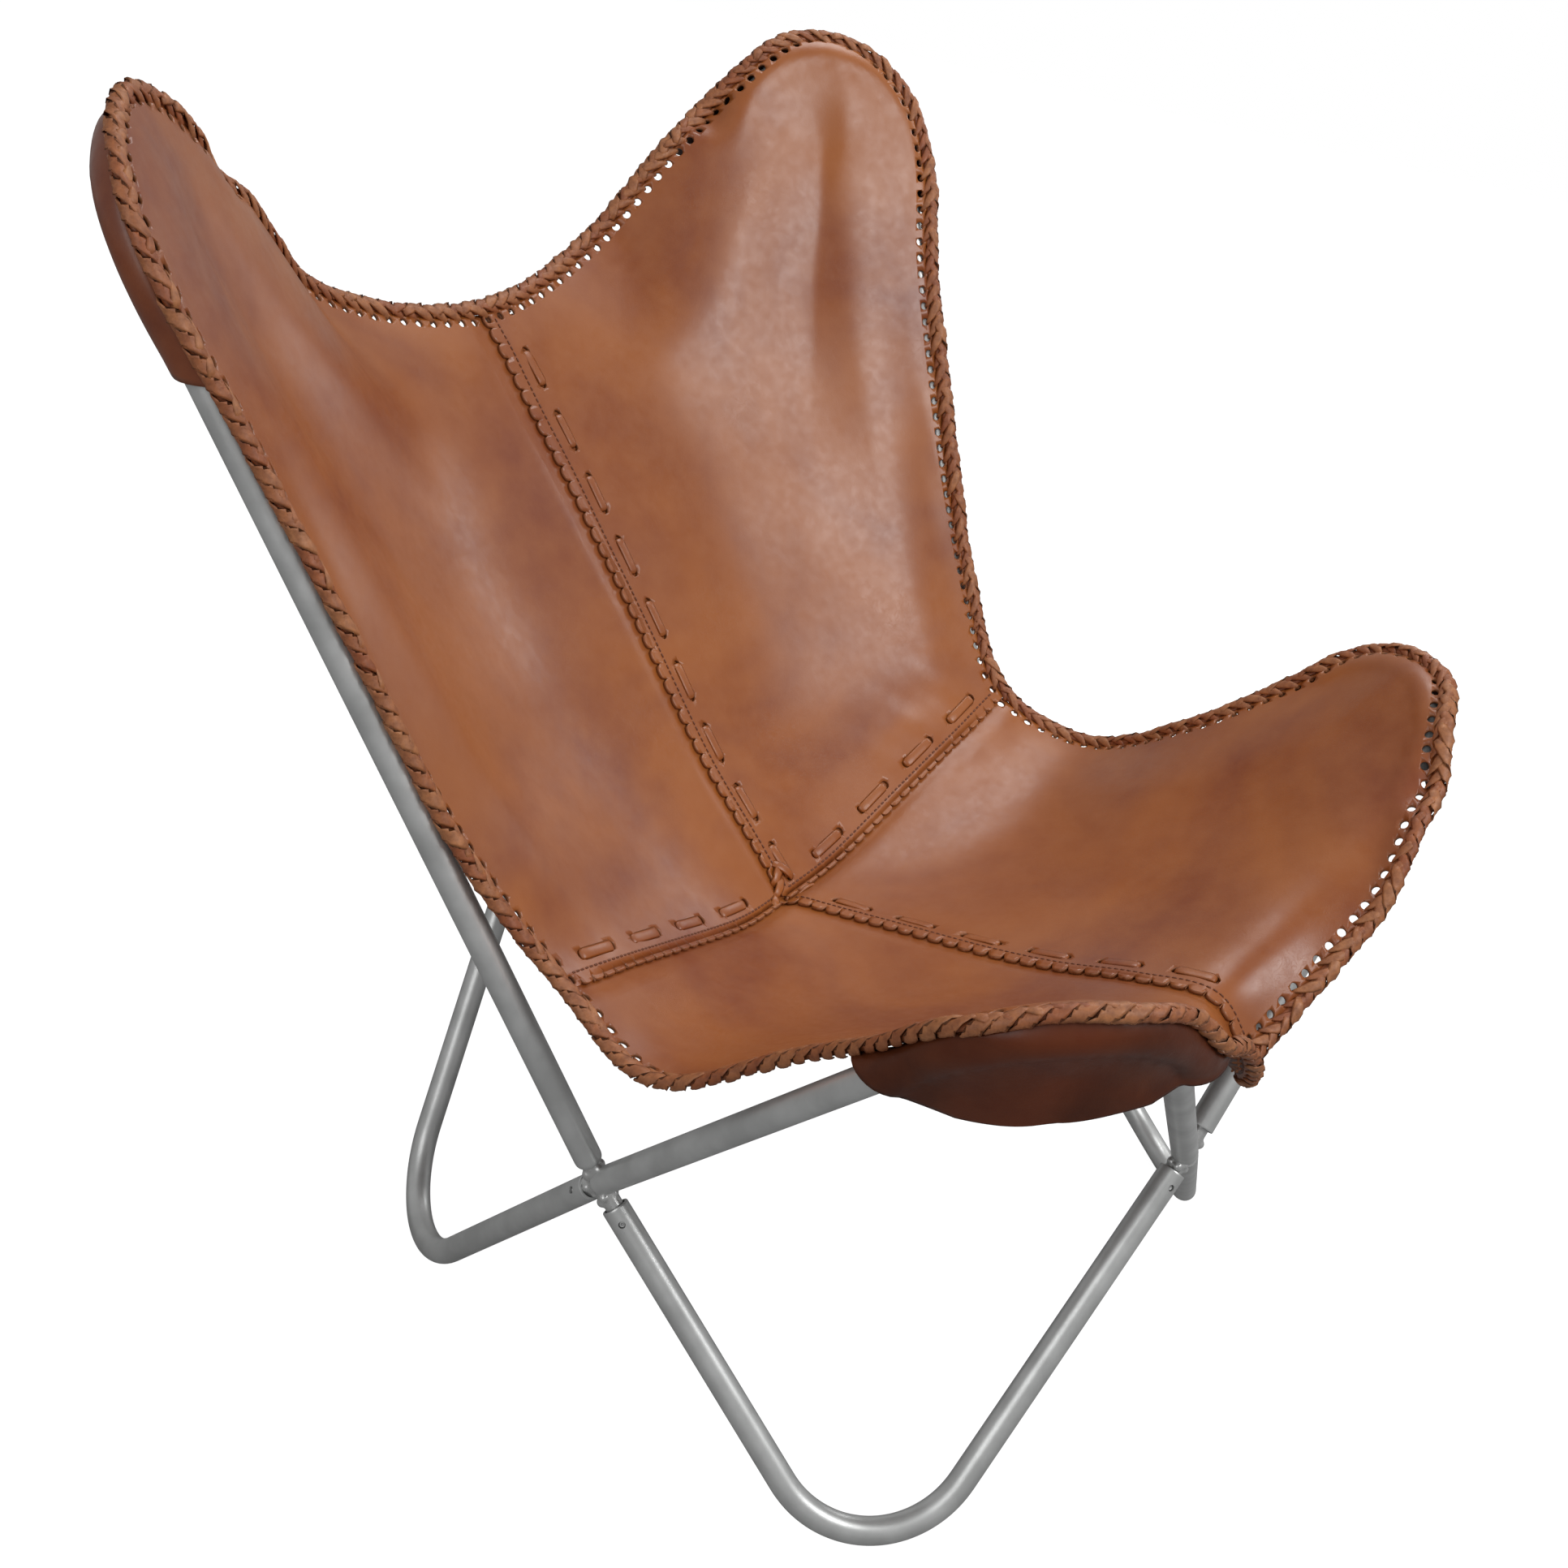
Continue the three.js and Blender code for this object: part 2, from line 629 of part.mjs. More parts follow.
// A pocket lies behind the corner of its panel and wraps round the outside of the wing tube
function pocketSheet(panelName, pocketLength, side) {
  const { outer, side: sideEdge } = panelEdges[panelName];
  const wing = leftWings[panelWing[panelName]];
  const front = facing[panelWing[panelName]];
  const acrossSpan = pocketLength / edgeLength(outer);
  const alongSpan = pocketLength / edgeLength(sideEdge);
  const shares = gridShares(pocketLength, pocketSteps);
  const wrapLine = shares.length - 1 - 4;
  const places = shares.map((p) => shares.map((q) => {
    const across = 1 - acrossSpan * (1 - p) * mix(pocketMiddleShare, 1, q);
    const along = 1 - alongSpan * (1 - q) * mix(pocketMiddleShare, 1, p);
    const place = drapedPoint(panelName, across, along);
    const up = upFrom(panelName, across, along);
    const sag = pocketSag * Math.sin((Math.PI / 2) * (1 - p)) * Math.sin((Math.PI / 2) * (1 - q));
    const slack = pocketEdgeSlack * (1 - Math.min(p, q));
    const drop = leatherThickness + layerGap + slack + sag;
    const behind = place.height - drop / Math.max(up.dot(front), steepestShare);
    const below = Math.min(behind, -heightOver(place.place, place.distance, place.outside));
    const reach = place.outside ? place.distance : -place.distance;
    return { ...place, reach, below };
  }));
  const nodes = places.map((line, i) => line.map((place, j) => {
    let { reach, below } = place;
    if (i > wrapLine) {
      const outerPlace = places[shares.length - 1][j];
      const innerPlace = places[wrapLine][j];
      const turnOf = (found) => {
        const turn = Math.atan2(found.below, found.reach);
        return turn > Math.PI / 2 ? turn - 2 * Math.PI : turn;
      };
      const rimBelow = outerPlace.height - leatherThickness - layerGap;
      const rim = { reach: outerPlace.reach, below: rimBelow };
      const share = (shares[i] - shares[wrapLine]) / (1 - shares[wrapLine]);
      const turn = mix(turnOf(innerPlace), turnOf(rim), share);
      const away = mix(Math.hypot(innerPlace.reach, innerPlace.below), Math.hypot(rim.reach, rim.below), share);
      const radius = Math.max(away, share < 1 ? clearHeight + tubeClearance : 0);
      reach = radius * Math.cos(turn);
      below = radius * Math.sin(turn);
    }
    return place.place.at.clone().addScaledVector(place.place.out, reach).addScaledVector(front, below);
  }));
  return sheetSolid(nodes, leatherThickness, () => true, side);
}

const pocketLengths = { back: backPocketLength, seat: frontPocketLength };
for (const [sideName, side] of Object.entries(sideSigns)) {
  for (const panelName of ['back', 'seat']) {
    const end = panelWing[panelName];
    addMesh(`${sideName}_${panelName}_panel`, panelSheet(panelName, side), leather);
    addMesh(`${sideName}_${end}_pocket`, pocketSheet(panelName, pocketLengths[panelName], side), leather);
  }
}

// Laces: a flat thong along each seam, on the upper leather next to the lap
const laceHeight = (leatherThickness + laceThickness) / 2 + laceGap;
const inLaceSpan = (share) => share >= laceStartShare && share <= laceEndShare;

function lacePoints(panelName, atSeam, atLine) {
  const from = drapedPoint(panelName, ...atSeam).point;
  const away = drapedPoint(panelName, ...atLine).point.sub(from).normalize();
  const up = upFrom(panelName, ...atLine);
  up.addScaledVector(away, -up.dot(away)).normalize();
  return [laceInset - laceWidth / 2, laceInset + laceWidth / 2].map((inset) => (
    from.clone().addScaledVector(away, inset).addScaledVector(up, laceHeight)
  ));
}

for (const panelName of ['back', 'seat']) {
  const { across, along } = panelGrid(panelName);
  const rows = along.filter(inLaceSpan)
    .map((b) => lacePoints(panelName, [across[0], b], [across[1], b]));
  if (panelName === 'seat') rows.reverse();
  const nodes = [0, 1].map((line) => rows.map((row) => row[line]));
  addMesh(`${panelName}_seam_lace`, sheetSolid(nodes, laceThickness, () => true, 1), laceLeather);
}

for (const [sideName, side] of Object.entries(sideSigns)) {
  const { across, along } = panelGrid('back');
  const nodes = across.filter(inLaceSpan)
    .map((a) => lacePoints('back', [a, along[0]], [a, along[1]]));
  addMesh(`${sideName}_waist_lace`, sheetSolid(nodes, laceThickness, () => true, side), laceLeather);
}

// Braid: one closed loop just outside the leather's edge, kept off the wing tubes
function braidCentre(panelName, across, along) {
  const step = 0.01;
  const onSide = across === 1;
  const edge = drapedPoint(panelName, across, along);
  const inner = onSide ? drapedPoint(panelName, 1 - step, along) : drapedPoint(panelName, across, 1 - step);
  const before = onSide ? drapedPoint(panelName, 1, Math.max(along - step, 0))
    : drapedPoint(panelName, Math.max(across - step, 0), 1);
  const after = onSide ? drapedPoint(panelName, 1, Math.min(along + step, 1))
    : drapedPoint(panelName, Math.min(across + step, 1), 1);
  const tangent = after.point.sub(before.point).normalize();
  const atBend = edge.place.past === 0 && edge.distance > edgeReach - tubeClearance;
  const out = atBend ? edge.place.out.clone() : edge.natural.clone().sub(inner.natural);
  out.addScaledVector(tangent, -out.dot(tangent)).normalize();
  const centre = edge.point.clone().addScaledVector(out, (braidDiameter + leatherThickness) / 2 + braidGap);
  const off = centre.clone().sub(edge.place.at);
  const fromTip = onSide ? (1 - along) * edgeLength(panelEdges[panelName].side) : 0;
  const wrap = onSide && fromTip < pocketLengths[panelName] ? leatherThickness + layerGap + tubeClearance : 0;
  const need = tubeRadius + braidDiameter / 2 + tubeClearance + wrap;
  if (off.length() < need) centre.copy(edge.place.at).addScaledVector(off.normalize(), need);
  return centre;
}

const braidStops = [];
for (const [panelName, onSide, outward] of [
  ['back', false, true], ['back', true, false], ['seat', true, true], ['seat', false, false],
]) {
  for (let i = 0; i < braidStepsPerEdge; i += 1) {
    const step = outward ? i / braidStepsPerEdge : 1 - i / braidStepsPerEdge;
    const share = mix(step, Math.sin((step * Math.PI) / 2), 0.5);
    braidStops.push(onSide ? braidCentre(panelName, 1, share) : braidCentre(panelName, share, 1));
  }
}
braidStops.push(braidCentre('seat', 0, 1));
const braidLoop = [...braidStops, ...braidStops.slice(1, -1).reverse().map((point) => mirrored(point, -1))];

function loopSolid(points, radius, sides) {
  const count = points.length;
  const middle = points.reduce((sum, point) => sum.add(point), vector(0, 0, 0)).divideScalar(count);
  const positions = [];
  const triangles = [];
  points.forEach((point, i) => {
    const tangent = points[(i + 1) % count].clone().sub(points[(i + count - 1) % count]).normalize();
    const out = point.clone().sub(middle);
    out.addScaledVector(tangent, -out.dot(tangent)).normalize();
    const up = tangent.clone().cross(out);
    for (let k = 0; k < sides; k += 1) {
      const turn = (2 * Math.PI * (k + 0.5)) / sides;
      const ring = point.clone().addScaledVector(out, radius * Math.cos(turn))
        .addScaledVector(up, radius * Math.sin(turn));
      positions.push(ring.x, ring.y, ring.z);
      const next = ((i + 1) % count) * sides;
      const side = (k + 1) % sides;
      triangles.push(i * sides + k, i * sides + side, next + side);
      triangles.push(i * sides + k, next + side, next + k);
    }
  });
  const geometry = new THREE.BufferGeometry();
  geometry.setAttribute('position', new THREE.BufferAttribute(new Float32Array(positions), 3));
  geometry.setIndex(triangles);
  return geometry;
}

addMesh('edge_braid', loopSolid(braidLoop, braidDiameter / 2, braidSides), laceLeather);

// The origin lies under the middle of the chair
const box = new THREE.Box3().setFromObject(group);
const middle = box.getCenter(vector(0, 0, 0));
for (const mesh of group.children) mesh.geometry.translate(-middle.x, -middle.y, -box.min.z);

export default group;
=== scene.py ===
import math

import bmesh
import bpy
import numpy as np
from mathutils import Matrix


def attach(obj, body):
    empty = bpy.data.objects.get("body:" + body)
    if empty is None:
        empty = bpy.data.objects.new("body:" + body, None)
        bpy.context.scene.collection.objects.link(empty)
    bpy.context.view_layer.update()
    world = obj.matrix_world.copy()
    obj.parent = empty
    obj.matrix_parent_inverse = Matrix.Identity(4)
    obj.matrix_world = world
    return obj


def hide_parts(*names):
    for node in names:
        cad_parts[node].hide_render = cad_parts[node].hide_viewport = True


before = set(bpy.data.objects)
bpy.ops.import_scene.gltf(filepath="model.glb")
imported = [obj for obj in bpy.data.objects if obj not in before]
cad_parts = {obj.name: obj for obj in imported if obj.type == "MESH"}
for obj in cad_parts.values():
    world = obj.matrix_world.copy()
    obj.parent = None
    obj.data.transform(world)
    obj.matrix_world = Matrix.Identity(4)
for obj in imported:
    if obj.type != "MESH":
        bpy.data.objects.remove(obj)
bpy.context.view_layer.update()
print("chair: frame loaded")

# Camera, light and floor.

cameraView = {
    "azimuth": -59.53,
    "elevation": 29.75,
    "roll": 7.92,
    "distance": 1.65911,
    "target": (0.15671, 0.14131, 0.28161),
    "lens": 42.10,
    "sensor": 36,
    "shift": (0.0039, 0.0010),
    "clipEnd": 50,
}

# Each soft light has a place, what it aims at, its width and its power
studio = {
    "worldStrength": 0.36,
    "floorTone": 0.30,
    "floorGlow": 0.95,
    "floorHalf": 6.0,
    "floorLevel": -0.0006,
    "lights": {
        "frontWindow": ((0.2, -1.95, 2.05), (0.0, 0.0, 0.55), 1.25, 28.0),
        "highWindow": ((1.2, 0.35, 2.4), (0.1, 0.0, 0.4), 1.2, 14.0),
        "lowWindow": ((1.87, -0.15, 1.12), (-0.3, 0.2, 0.8), 0.6, 3.0),
        "nearFill": ((-2.3, -0.2, 1.9), (0.0, 0.0, 0.45), 1.9, 17.0),
    },
}
white = (1, 1, 1, 1)


def linearColour(hexText):
    text = hexText.lstrip("#")
    parts = [int(text[i:i + 2], 16) / 255 for i in (0, 2, 4)]
    return [c / 12.92 if c <= 0.04045 else ((c + 0.055) / 1.055) ** 2.4 for c in parts] + [1.0]


def addNode(tree, kind, settings=None, inputs=None):
    node = tree.nodes.new(kind)
    for key, value in (settings or {}).items():
        setattr(node, key, value)
    for key, value in (inputs or {}).items():
        if isinstance(value, bpy.types.NodeSocket):
            tree.links.new(value, node.inputs[key])
        else:
            node.inputs[key].default_value = value
    return node


def emptyTree(owner):
    owner.use_nodes = True
    owner.node_tree.nodes.clear()
    return owner.node_tree


def newObject(name, data):
    made = bpy.data.objects.new(name, data)
    bpy.context.scene.collection.objects.link(made)
    return made


def unit(v):
    v = np.asarray(v, float)
    return v / np.maximum(np.linalg.norm(v, axis=-1, keepdims=True), 1e-9)


def sizeOf(v):
    return np.linalg.norm(v, axis=-1)


def dot(a, b):
    return np.sum(a * b, axis=-1)


def squareTo(way, v):
    return v - way * dot(v, way)[..., None]


# The larger of two values, with a round corner where they meet
def softMax(a, b, softness):
    return (a + b + np.sqrt((a - b) ** 2 + softness ** 2)) / 2


# A rise from 0 to 1 that starts and ends softly
def smoothShare(share):
    share = np.clip(share, 0, 1)
    return share * share * (3 - 2 * share)


def lengthsAlong(points):
    return np.concatenate([[0], np.cumsum(sizeOf(np.diff(points, axis=0)))])


def valuesAt(wanted, lengths, values):
    return np.stack([np.interp(wanted, lengths, values[:, k]) for k in range(3)], axis=-1)


def standing(right, up, back, place):
    return Matrix([[float(axis[i]) for axis in (right, up, back, place)] for i in range(3)] + [[0, 0, 0, 1]])


def aimCamera(facts):
    az, el, roll = (math.radians(facts[k]) for k in ("azimuth", "elevation", "roll"))
    back = np.array([math.sin(az) * math.cos(el), -math.cos(az) * math.cos(el), math.sin(el)])
    side = unit(np.cross(-back, [0, 0, 1]))
    up = np.cross(side, -back)
    right = side * math.cos(roll) + up * math.sin(roll)
    top = up * math.cos(roll) - side * math.sin(roll)
    data = bpy.data.cameras.new("photoCamera")
    data.lens, data.sensor_width, data.clip_end = facts["lens"], facts["sensor"], facts["clipEnd"]
    data.shift_x, data.shift_y = facts["shift"]
    camera = newObject("photoCamera", data)
    camera.matrix_world = standing(right, top, back, np.array(facts["target"]) + back * facts["distance"])
    bpy.context.scene.camera = camera


def softLight(name, place, aim, size, power):
    data = bpy.data.lights.new(name, "AREA")
    data.shape, data.size, data.energy = "DISK", size, power
    back = unit(np.array(place) - np.array(aim))
    side = unit(np.cross([0, 0, 1], back))
    newObject(name, data).matrix_world = standing(side, np.cross(back, side), back, place)


def makeFloor(facts):
    half, level = facts["floorHalf"], facts["floorLevel"]
    mesh = bpy.data.meshes.new("studioFloor")
    corners = [(x * half, y * half, level) for x, y in ((-1, -1), (1, -1), (1, 1), (-1, 1))]
    mesh.from_pydata(corners, [], [(0, 1, 2, 3)])
    paint = bpy.data.materials.new("whiteStudioFloor")
    tree = emptyTree(paint)
    path = addNode(tree, "ShaderNodeLightPath")
    matt = addNode(tree, "ShaderNodeBsdfDiffuse", None, {"Color": (*[facts["floorTone"]] * 3, 1)})
    glow = addNode(tree, "ShaderNodeEmission", None, {"Color": white, "Strength": facts["floorGlow"]})
    lit = addNode(tree, "ShaderNodeAddShader", None, {0: matt.outputs[0], 1: glow.outputs[0]})
    seen = addNode(tree, "ShaderNodeMixShader", None,
                   {0: path.outputs["Is Camera Ray"], 1: matt.outputs[0], 2: lit.outputs[0]})
    addNode(tree, "ShaderNodeOutputMaterial", None, {"Surface": seen.outputs[0]})
    mesh.materials.append(paint)
    floor = newObject("studioFloor", mesh)


def makeStudio(facts):
    world = bpy.data.worlds.new("paleRoom")
    bpy.context.scene.world = world
    tree = emptyTree(world)
    path = addNode(tree, "ShaderNodeLightPath")
    seen = addNode(tree, "ShaderNodeMath", {"operation": "MAXIMUM"},
                   {0: path.outputs["Is Camera Ray"], 1: path.outputs["Is Transmission Ray"]})
    room = addNode(tree, "ShaderNodeBackground", None, {"Color": white, "Strength": facts["worldStrength"]})
    plain = addNode(tree, "ShaderNodeBackground", None, {"Color": white, "Strength": 1.0})
    both = addNode(tree, "ShaderNodeMixShader", None,
                   {0: seen.outputs[0], 1: room.outputs[0], 2: plain.outputs[0]})
    addNode(tree, "ShaderNodeOutputWorld", None, {"Surface": both.outputs[0]})
    for name, light in facts["lights"].items():
        softLight(name, *light)
    makeFloor(facts)


aimCamera(cameraView)
makeStudio(studio)
bpy.context.scene.view_settings.view_transform = "Standard"
print("chair: camera, light and floor")

# Materials.

# Noises are a spacing in millimetres, a detail, a roughness and a distortion. Steps work on them in order:
# a sum, or a range that stretches one span of values to another. Layers of colour lie over the base, each
# as strong as its step and with its brightness. A bump is a step, a strength and a depth in millimetres.
noiseRange = (0.3, 0.7)

# Vegetable-tanned cowhide, oiled and burnished: warm mottled tan with a soft broad shine.
# Along a lap it is pressed in and a little darker where it is sewn.
leatherLooks = {
    "base": "#A05A24",
    "red": "#82401E",
    "pale": "#AB6A3B",
    "attribute": "toLap",
    "poreSpacing": 1.5,
    "noises": {
        "broadMottle": (190.0, 3.0, 0.55, 0.6),
        "smallMottle": (26.0, 4.0, 0.6),
        "gloss": (9.0, 5.0),
        "wrinkles": (5.0, 6.0, 0.62, 0.8),
        "folds": (9.0, 7.0, 0.6, 2.0),
        "wornPatches": (120.0, 2.0),
    },
    "steps": {
        "broad": ("RANGE", "broadMottle", 0.36, 0.64),
        "small": ("RANGE", "smallMottle", 0.35, 0.7),
        "paleShare": ("RANGE", "small", 0, 1, 0, 0.28),
        "shine": ("RANGE", "gloss", *noiseRange, 0.31, 0.48),
        "fromLine": ("SUBTRACT", "toLap", 5.0),
        "lineGap": ("ABSOLUTE", "fromLine"),
        "groove": ("RANGE", "lineGap", 0, 0.9, 1, 0),
        "grooveShade": ("RANGE", "groove", 0, 1, 0, 0.3),
        "fold": ("SUBTRACT", "folds", 0.5),
        "foldGap": ("ABSOLUTE", "fold"),
        "creases": ("RANGE", "foldGap", 0, 0.03, 1, 0),
        "patches": ("RANGE", "wornPatches", 0.52, 0.68),
        "worn": ("MULTIPLY", "patches", "creases"),
        "pored": ("MULTIPLY_ADD", "pores", 0.35, "wrinkles"),
        "grooved": ("MULTIPLY_ADD", "groove", -2.6, "pored"),
        "height": ("MULTIPLY_ADD", "worn", -0.8, "grooved"),
    },
    "layers": [("broad", "red", 1), ("paleShare", "pale", 1), ("grooveShade", "red", 1)],
    "shader": {"Roughness": "shine", "IOR": 1.42, "Coat Weight": 0.45, "Coat Roughness": 0.30},
    "bump": ("height", 0.25, 0.28),
}
# The pockets are the same hide in darker copies that are painted shade: the front pocket's is much darker for
# the shade under the sling, and the back pocket's is a little darker than the panels
shadedFrontPocketLooks = {**leatherLooks, "base": "#6A3018", "red": "#48200F", "pale": "#743E22",
                    "shader": {**leatherLooks["shader"], "IOR": 1.32, "Coat Weight": 0.05}}
shadedBackPocketLooks = {**leatherLooks, "base": "#93502C", "red": "#6E341B", "pale": "#9C5E3A",
                   "shader": {**leatherLooks["shader"], "Coat Weight": 0.3}}
# The flesh side of the hide: dull, darker and a little fuzzy
fleshLooks = {
    "base": "#5A3322",
    "noises": {"nap": (3.0, 6.0, 0.7)},
    "steps": {"mottle": ("RANGE", "nap", *noiseRange)},
    "layers": [("mottle", "base", 0.72)],
    "shader": {"Roughness": 0.62},
    "bump": ("nap", 0.35, 0.4),
}
# The burnished cut edge of the hide: a thin darker line
edgeLooks = {
    "base": "#9C6038",
    "noises": {"grain": (1.2, 3.0)},
    "layers": [("grain", "base", 0.6)],
    "shader": {"Roughness": 0.5},
}
# Goat-hide lacing thong, pulled tight: each wrap a slightly different tan, darker in the folds
thongLooks = {
    "base": "#9E5832",
    "dark": "#5A2914",
    "pale": "#B87A4E",
    "attribute": "tone",
    "noises": {"streaks": (6.0, 4.0, 0.65), "crumple": (2.75, 5.0, 0.7, 0.6)},
    "steps": {
        "streak": ("RANGE", "streaks", 0.3, 0.72),
        "darkShare": ("RANGE", "streak", 0, 1, 0, 0.65),
        "shine": ("RANGE", "streak", 0, 1, 0.42, 0.6),
    },
    "layers": [("tone", "pale", 1), ("darkShare", "dark", 1)],
    "shader": {"Roughness": "shine"},
    "bump": ("crumple", 0.5, 0.6),
}
# Bonded nylon sewing thread, a shade darker than the hide
threadLooks = {
    "base": "#7A4326",
    "dark": "#5A2E18",
    "noises": {"twist": (0.6, 2.0)},
    "layers": [("twist", "dark", 1)],
    "shader": {"Roughness": 0.55},
}


# Bare-look steel under a thin silver-grey lacquer: satin, with faint cloudy variation
def lacqueredSteel(base, roughness, bumpDepth):
    return {
        "base": base,
        "shade": "#C4C5C4",
        "noises": {"clouds": (30.0, 3.0), "grain": (1.4, 3.0)},
        "steps": {
            "cloud": ("RANGE", "clouds", 0.35, 0.65),
            "shine": ("RANGE", "grain", *noiseRange, *roughness),
        },
        "layers": [("cloud", "shade", 1)],
        "shader": {"Metallic": 0.62, "Roughness": "shine"},
        "bump": ("grain", 0.2, bumpDepth),
    }


def newMaterial(name, looks):
    material = bpy.data.materials.new(name)
    tree = emptyTree(material)
    place = addNode(tree, "ShaderNodeTexCoord").outputs["Object"]
    made = {}
    if "attribute" in looks:
        attribute = looks["attribute"]
        made[attribute] = addNode(tree, "ShaderNodeAttribute", {"attribute_name": attribute}).outputs["Fac"]
    if "poreSpacing" in looks:
        made["pores"] = addNode(tree, "ShaderNodeTexVoronoi", {"feature": "F1"}, {
            "Vector": place, "Scale": 1000.0 / looks["poreSpacing"]}).outputs["Distance"]
    for key, (spacing, *rest) in looks["noises"].items():
        made[key] = addNode(tree, "ShaderNodeTexNoise", None, {
            "Vector": place, "Scale": 1000.0 / spacing,
            **dict(zip(("Detail", "Roughness", "Distortion"), rest))}).outputs["Fac"]
    for key, (work, *values) in looks.get("steps", {}).items():
        values = [made.get(value, value) for value in values]
        if work == "RANGE":
            inputs = dict(zip(("Value", "From Min", "From Max", "To Min", "To Max"), values))
            made[key] = addNode(tree, "ShaderNodeMapRange", None, inputs).outputs["Result"]
        else:
            inputs = dict(enumerate(values))
            made[key] = addNode(tree, "ShaderNodeMath", {"operation": work}, inputs).outputs[0]
    colour = linearColour(looks["base"])
    for amount, over, brightness in looks["layers"]:
        over = [c * brightness for c in linearColour(looks[over])[:3]] + [1]
        colour = addNode(tree, "ShaderNodeMix", {"data_type": "RGBA"},
                         {0: made[amount], 6: colour, 7: over}).outputs[2]
    inputs = {key: made.get(value, value) for key, value in looks["shader"].items()}
    if "bump" in looks:
        height, strength, depth = looks["bump"]
        inputs["Normal"] = addNode(tree, "ShaderNodeBump", None, {
            "Height": made[height], "Strength": strength, "Distance": depth / 1000}).outputs[0]
    shader = addNode(tree, "ShaderNodeBsdfPrincipled", None, {"Base Color": colour, **inputs})
    addNode(tree, "ShaderNodeOutputMaterial", None, {"Surface": shader.outputs[0]})
    return material


hide = newMaterial("cognacCowhide", leatherLooks)
# The pockets' outer sides take darker copies of the hide, as painted shade
shadedPocketHides = {"front": newMaterial("paintedShadeFrontCowhide", shadedFrontPocketLooks),
               "back": newMaterial("paintedShadeBackCowhide", shadedBackPocketLooks)}
flesh = newMaterial("hideFleshSide", fleshLooks)
hideEdge = newMaterial("burnishedHideEdge", edgeLooks)
thong = newMaterial("goatLaceThong", thongLooks)
thread = newMaterial("brownSewingThread", threadLooks)
tubeSteel = newMaterial("satinLacqueredTube", lacqueredSteel("#D6D7D6", (0.34, 0.44), 0.06))
weldSteel = newMaterial("weldBeadSteel", lacqueredSteel("#C6C6C5", (0.26, 0.36), 0.08))
rodSteel = newMaterial("crossingRodSteel", lacqueredSteel("#88898A", (0.4, 0.5), 0.2))
print("chair: materials")

# Making meshes from millimetres.

ends = ("front", "back")
sideSigns = {"right": -1, "left": 1}
chair = {
    "middleY": 10.03,
    "tubeRadius": 10.0,
    "tubeWall": 1.5,
    "footBend": 79.0,
    "wingBend": 77.0,
    "frontCrossing": (0, -329, 237),
    "backCrossing": (0, 284, 348),
    "sideCrossing": (292, -14, 214),
    "frontFoot": (285, -276),
    "backFoot": (264, 224),
    "frontWing": (338, -372, 607),
    "backWing": (469, 405, 1083),
    "flatDepth": 0.5,
    "footRounds": 12,
}


def toMetres(points):
    return (np.asarray(points, float) - (0, chair["middleY"], 0)) / 1000.0


def newMesh(name, points, faces, materials=(), indices=None):
    mesh = bpy.data.meshes.new(name)
    mesh.from_pydata([tuple(p) for p in points.tolist()], [], faces)
    for material in materials:
        mesh.materials.append(material)
    if indices is not None:
        mesh.polygons.foreach_set("material_index", indices)
    mesh.polygons.foreach_set("use_smooth", [True] * len(mesh.polygons))
    mesh.update()
    return mesh


def meshPiece(name, verts, faces, materials, indices=None):
    return newObject(name, newMesh(name, toMetres(verts), faces, materials, indices))


def turnOutwards(piece):
    work = bmesh.new()
    work.from_mesh(piece.data)
    bmesh.ops.recalc_face_normals(work, faces=work.faces)
    work.to_mesh(piece.data)
    work.free()


def applyModifiers(piece):
    evaluated = piece.evaluated_get(bpy.context.evaluated_depsgraph_get())
    made, old = bpy.data.meshes.new_from_object(evaluated), piece.data
    piece.modifiers.clear()
    piece.data = made
    bpy.data.meshes.remove(old)


def removePiece(piece):
    mesh = piece.data
    bpy.data.objects.remove(piece)
    bpy.data.meshes.remove(mesh)


def sharpenBy(piece, degrees):
    piece.data.shade_smooth()
    piece.data.set_sharp_from_angle(angle=math.radians(degrees))


def mirror(points, side):
    return np.asarray(points, float) * (side, 1, 1)


def circle(sides):
    angles = 2 * math.pi * np.arange(sides) / sides
    return np.cos(angles), np.sin(angles)


# Faces of a run of rings of points; its ends are joined to each other or closed with flat caps
def ringFaces(rings, sides, closed=False):
    faces = []
    for i in range(rings if closed else rings - 1):
        here, there = i * sides, (i + 1) % rings * sides
        for k in range(sides):
            n = (k + 1) % sides
            faces.append((here + k, here + n, there + n, there + k))
    if not closed:
        faces += [tuple(range(sides))[::-1], tuple(range((rings - 1) * sides, rings * sides))]
    return faces


# Frame tubes.


def bentTube(start, corner, end, radius):
    start, corner, end = (np.array(p, float) for p in (start, corner, end))
    toStart, toEnd = unit(start - corner), unit(end - corner)
    half = math.acos(float(toStart @ toEnd)) / 2
    inward, normal = unit(toStart + toEnd), unit(np.cross(toStart, toEnd))
    centre = corner + inward * radius / math.sin(half)
    return {"start": start, "end": end, "radius": radius, "half": half, "toStart": toStart, "toEnd": toEnd,
            "inward": inward, "normal": normal, "centre": centre}


def bendPoint(tube, share, radius=None):
    turn = (np.asarray(share, float)[..., None] - 0.5) * (math.pi - 2 * tube["half"])
    along = np.cross(tube["normal"], tube["inward"])
    size = radius or tube["radius"]
    return tube["centre"] - tube["inward"] * size * np.cos(turn) + along * size * np.sin(turn)


def armPoint(tube, onStart, past, reach):
    arm = tube["toStart"] if onStart else tube["toEnd"]
    out = unit(-tube["inward"] + arm * float(tube["inward"] @ arm))
    return bendPoint(tube, 0.0 if onStart else 1.0) + arm * past + out * reach


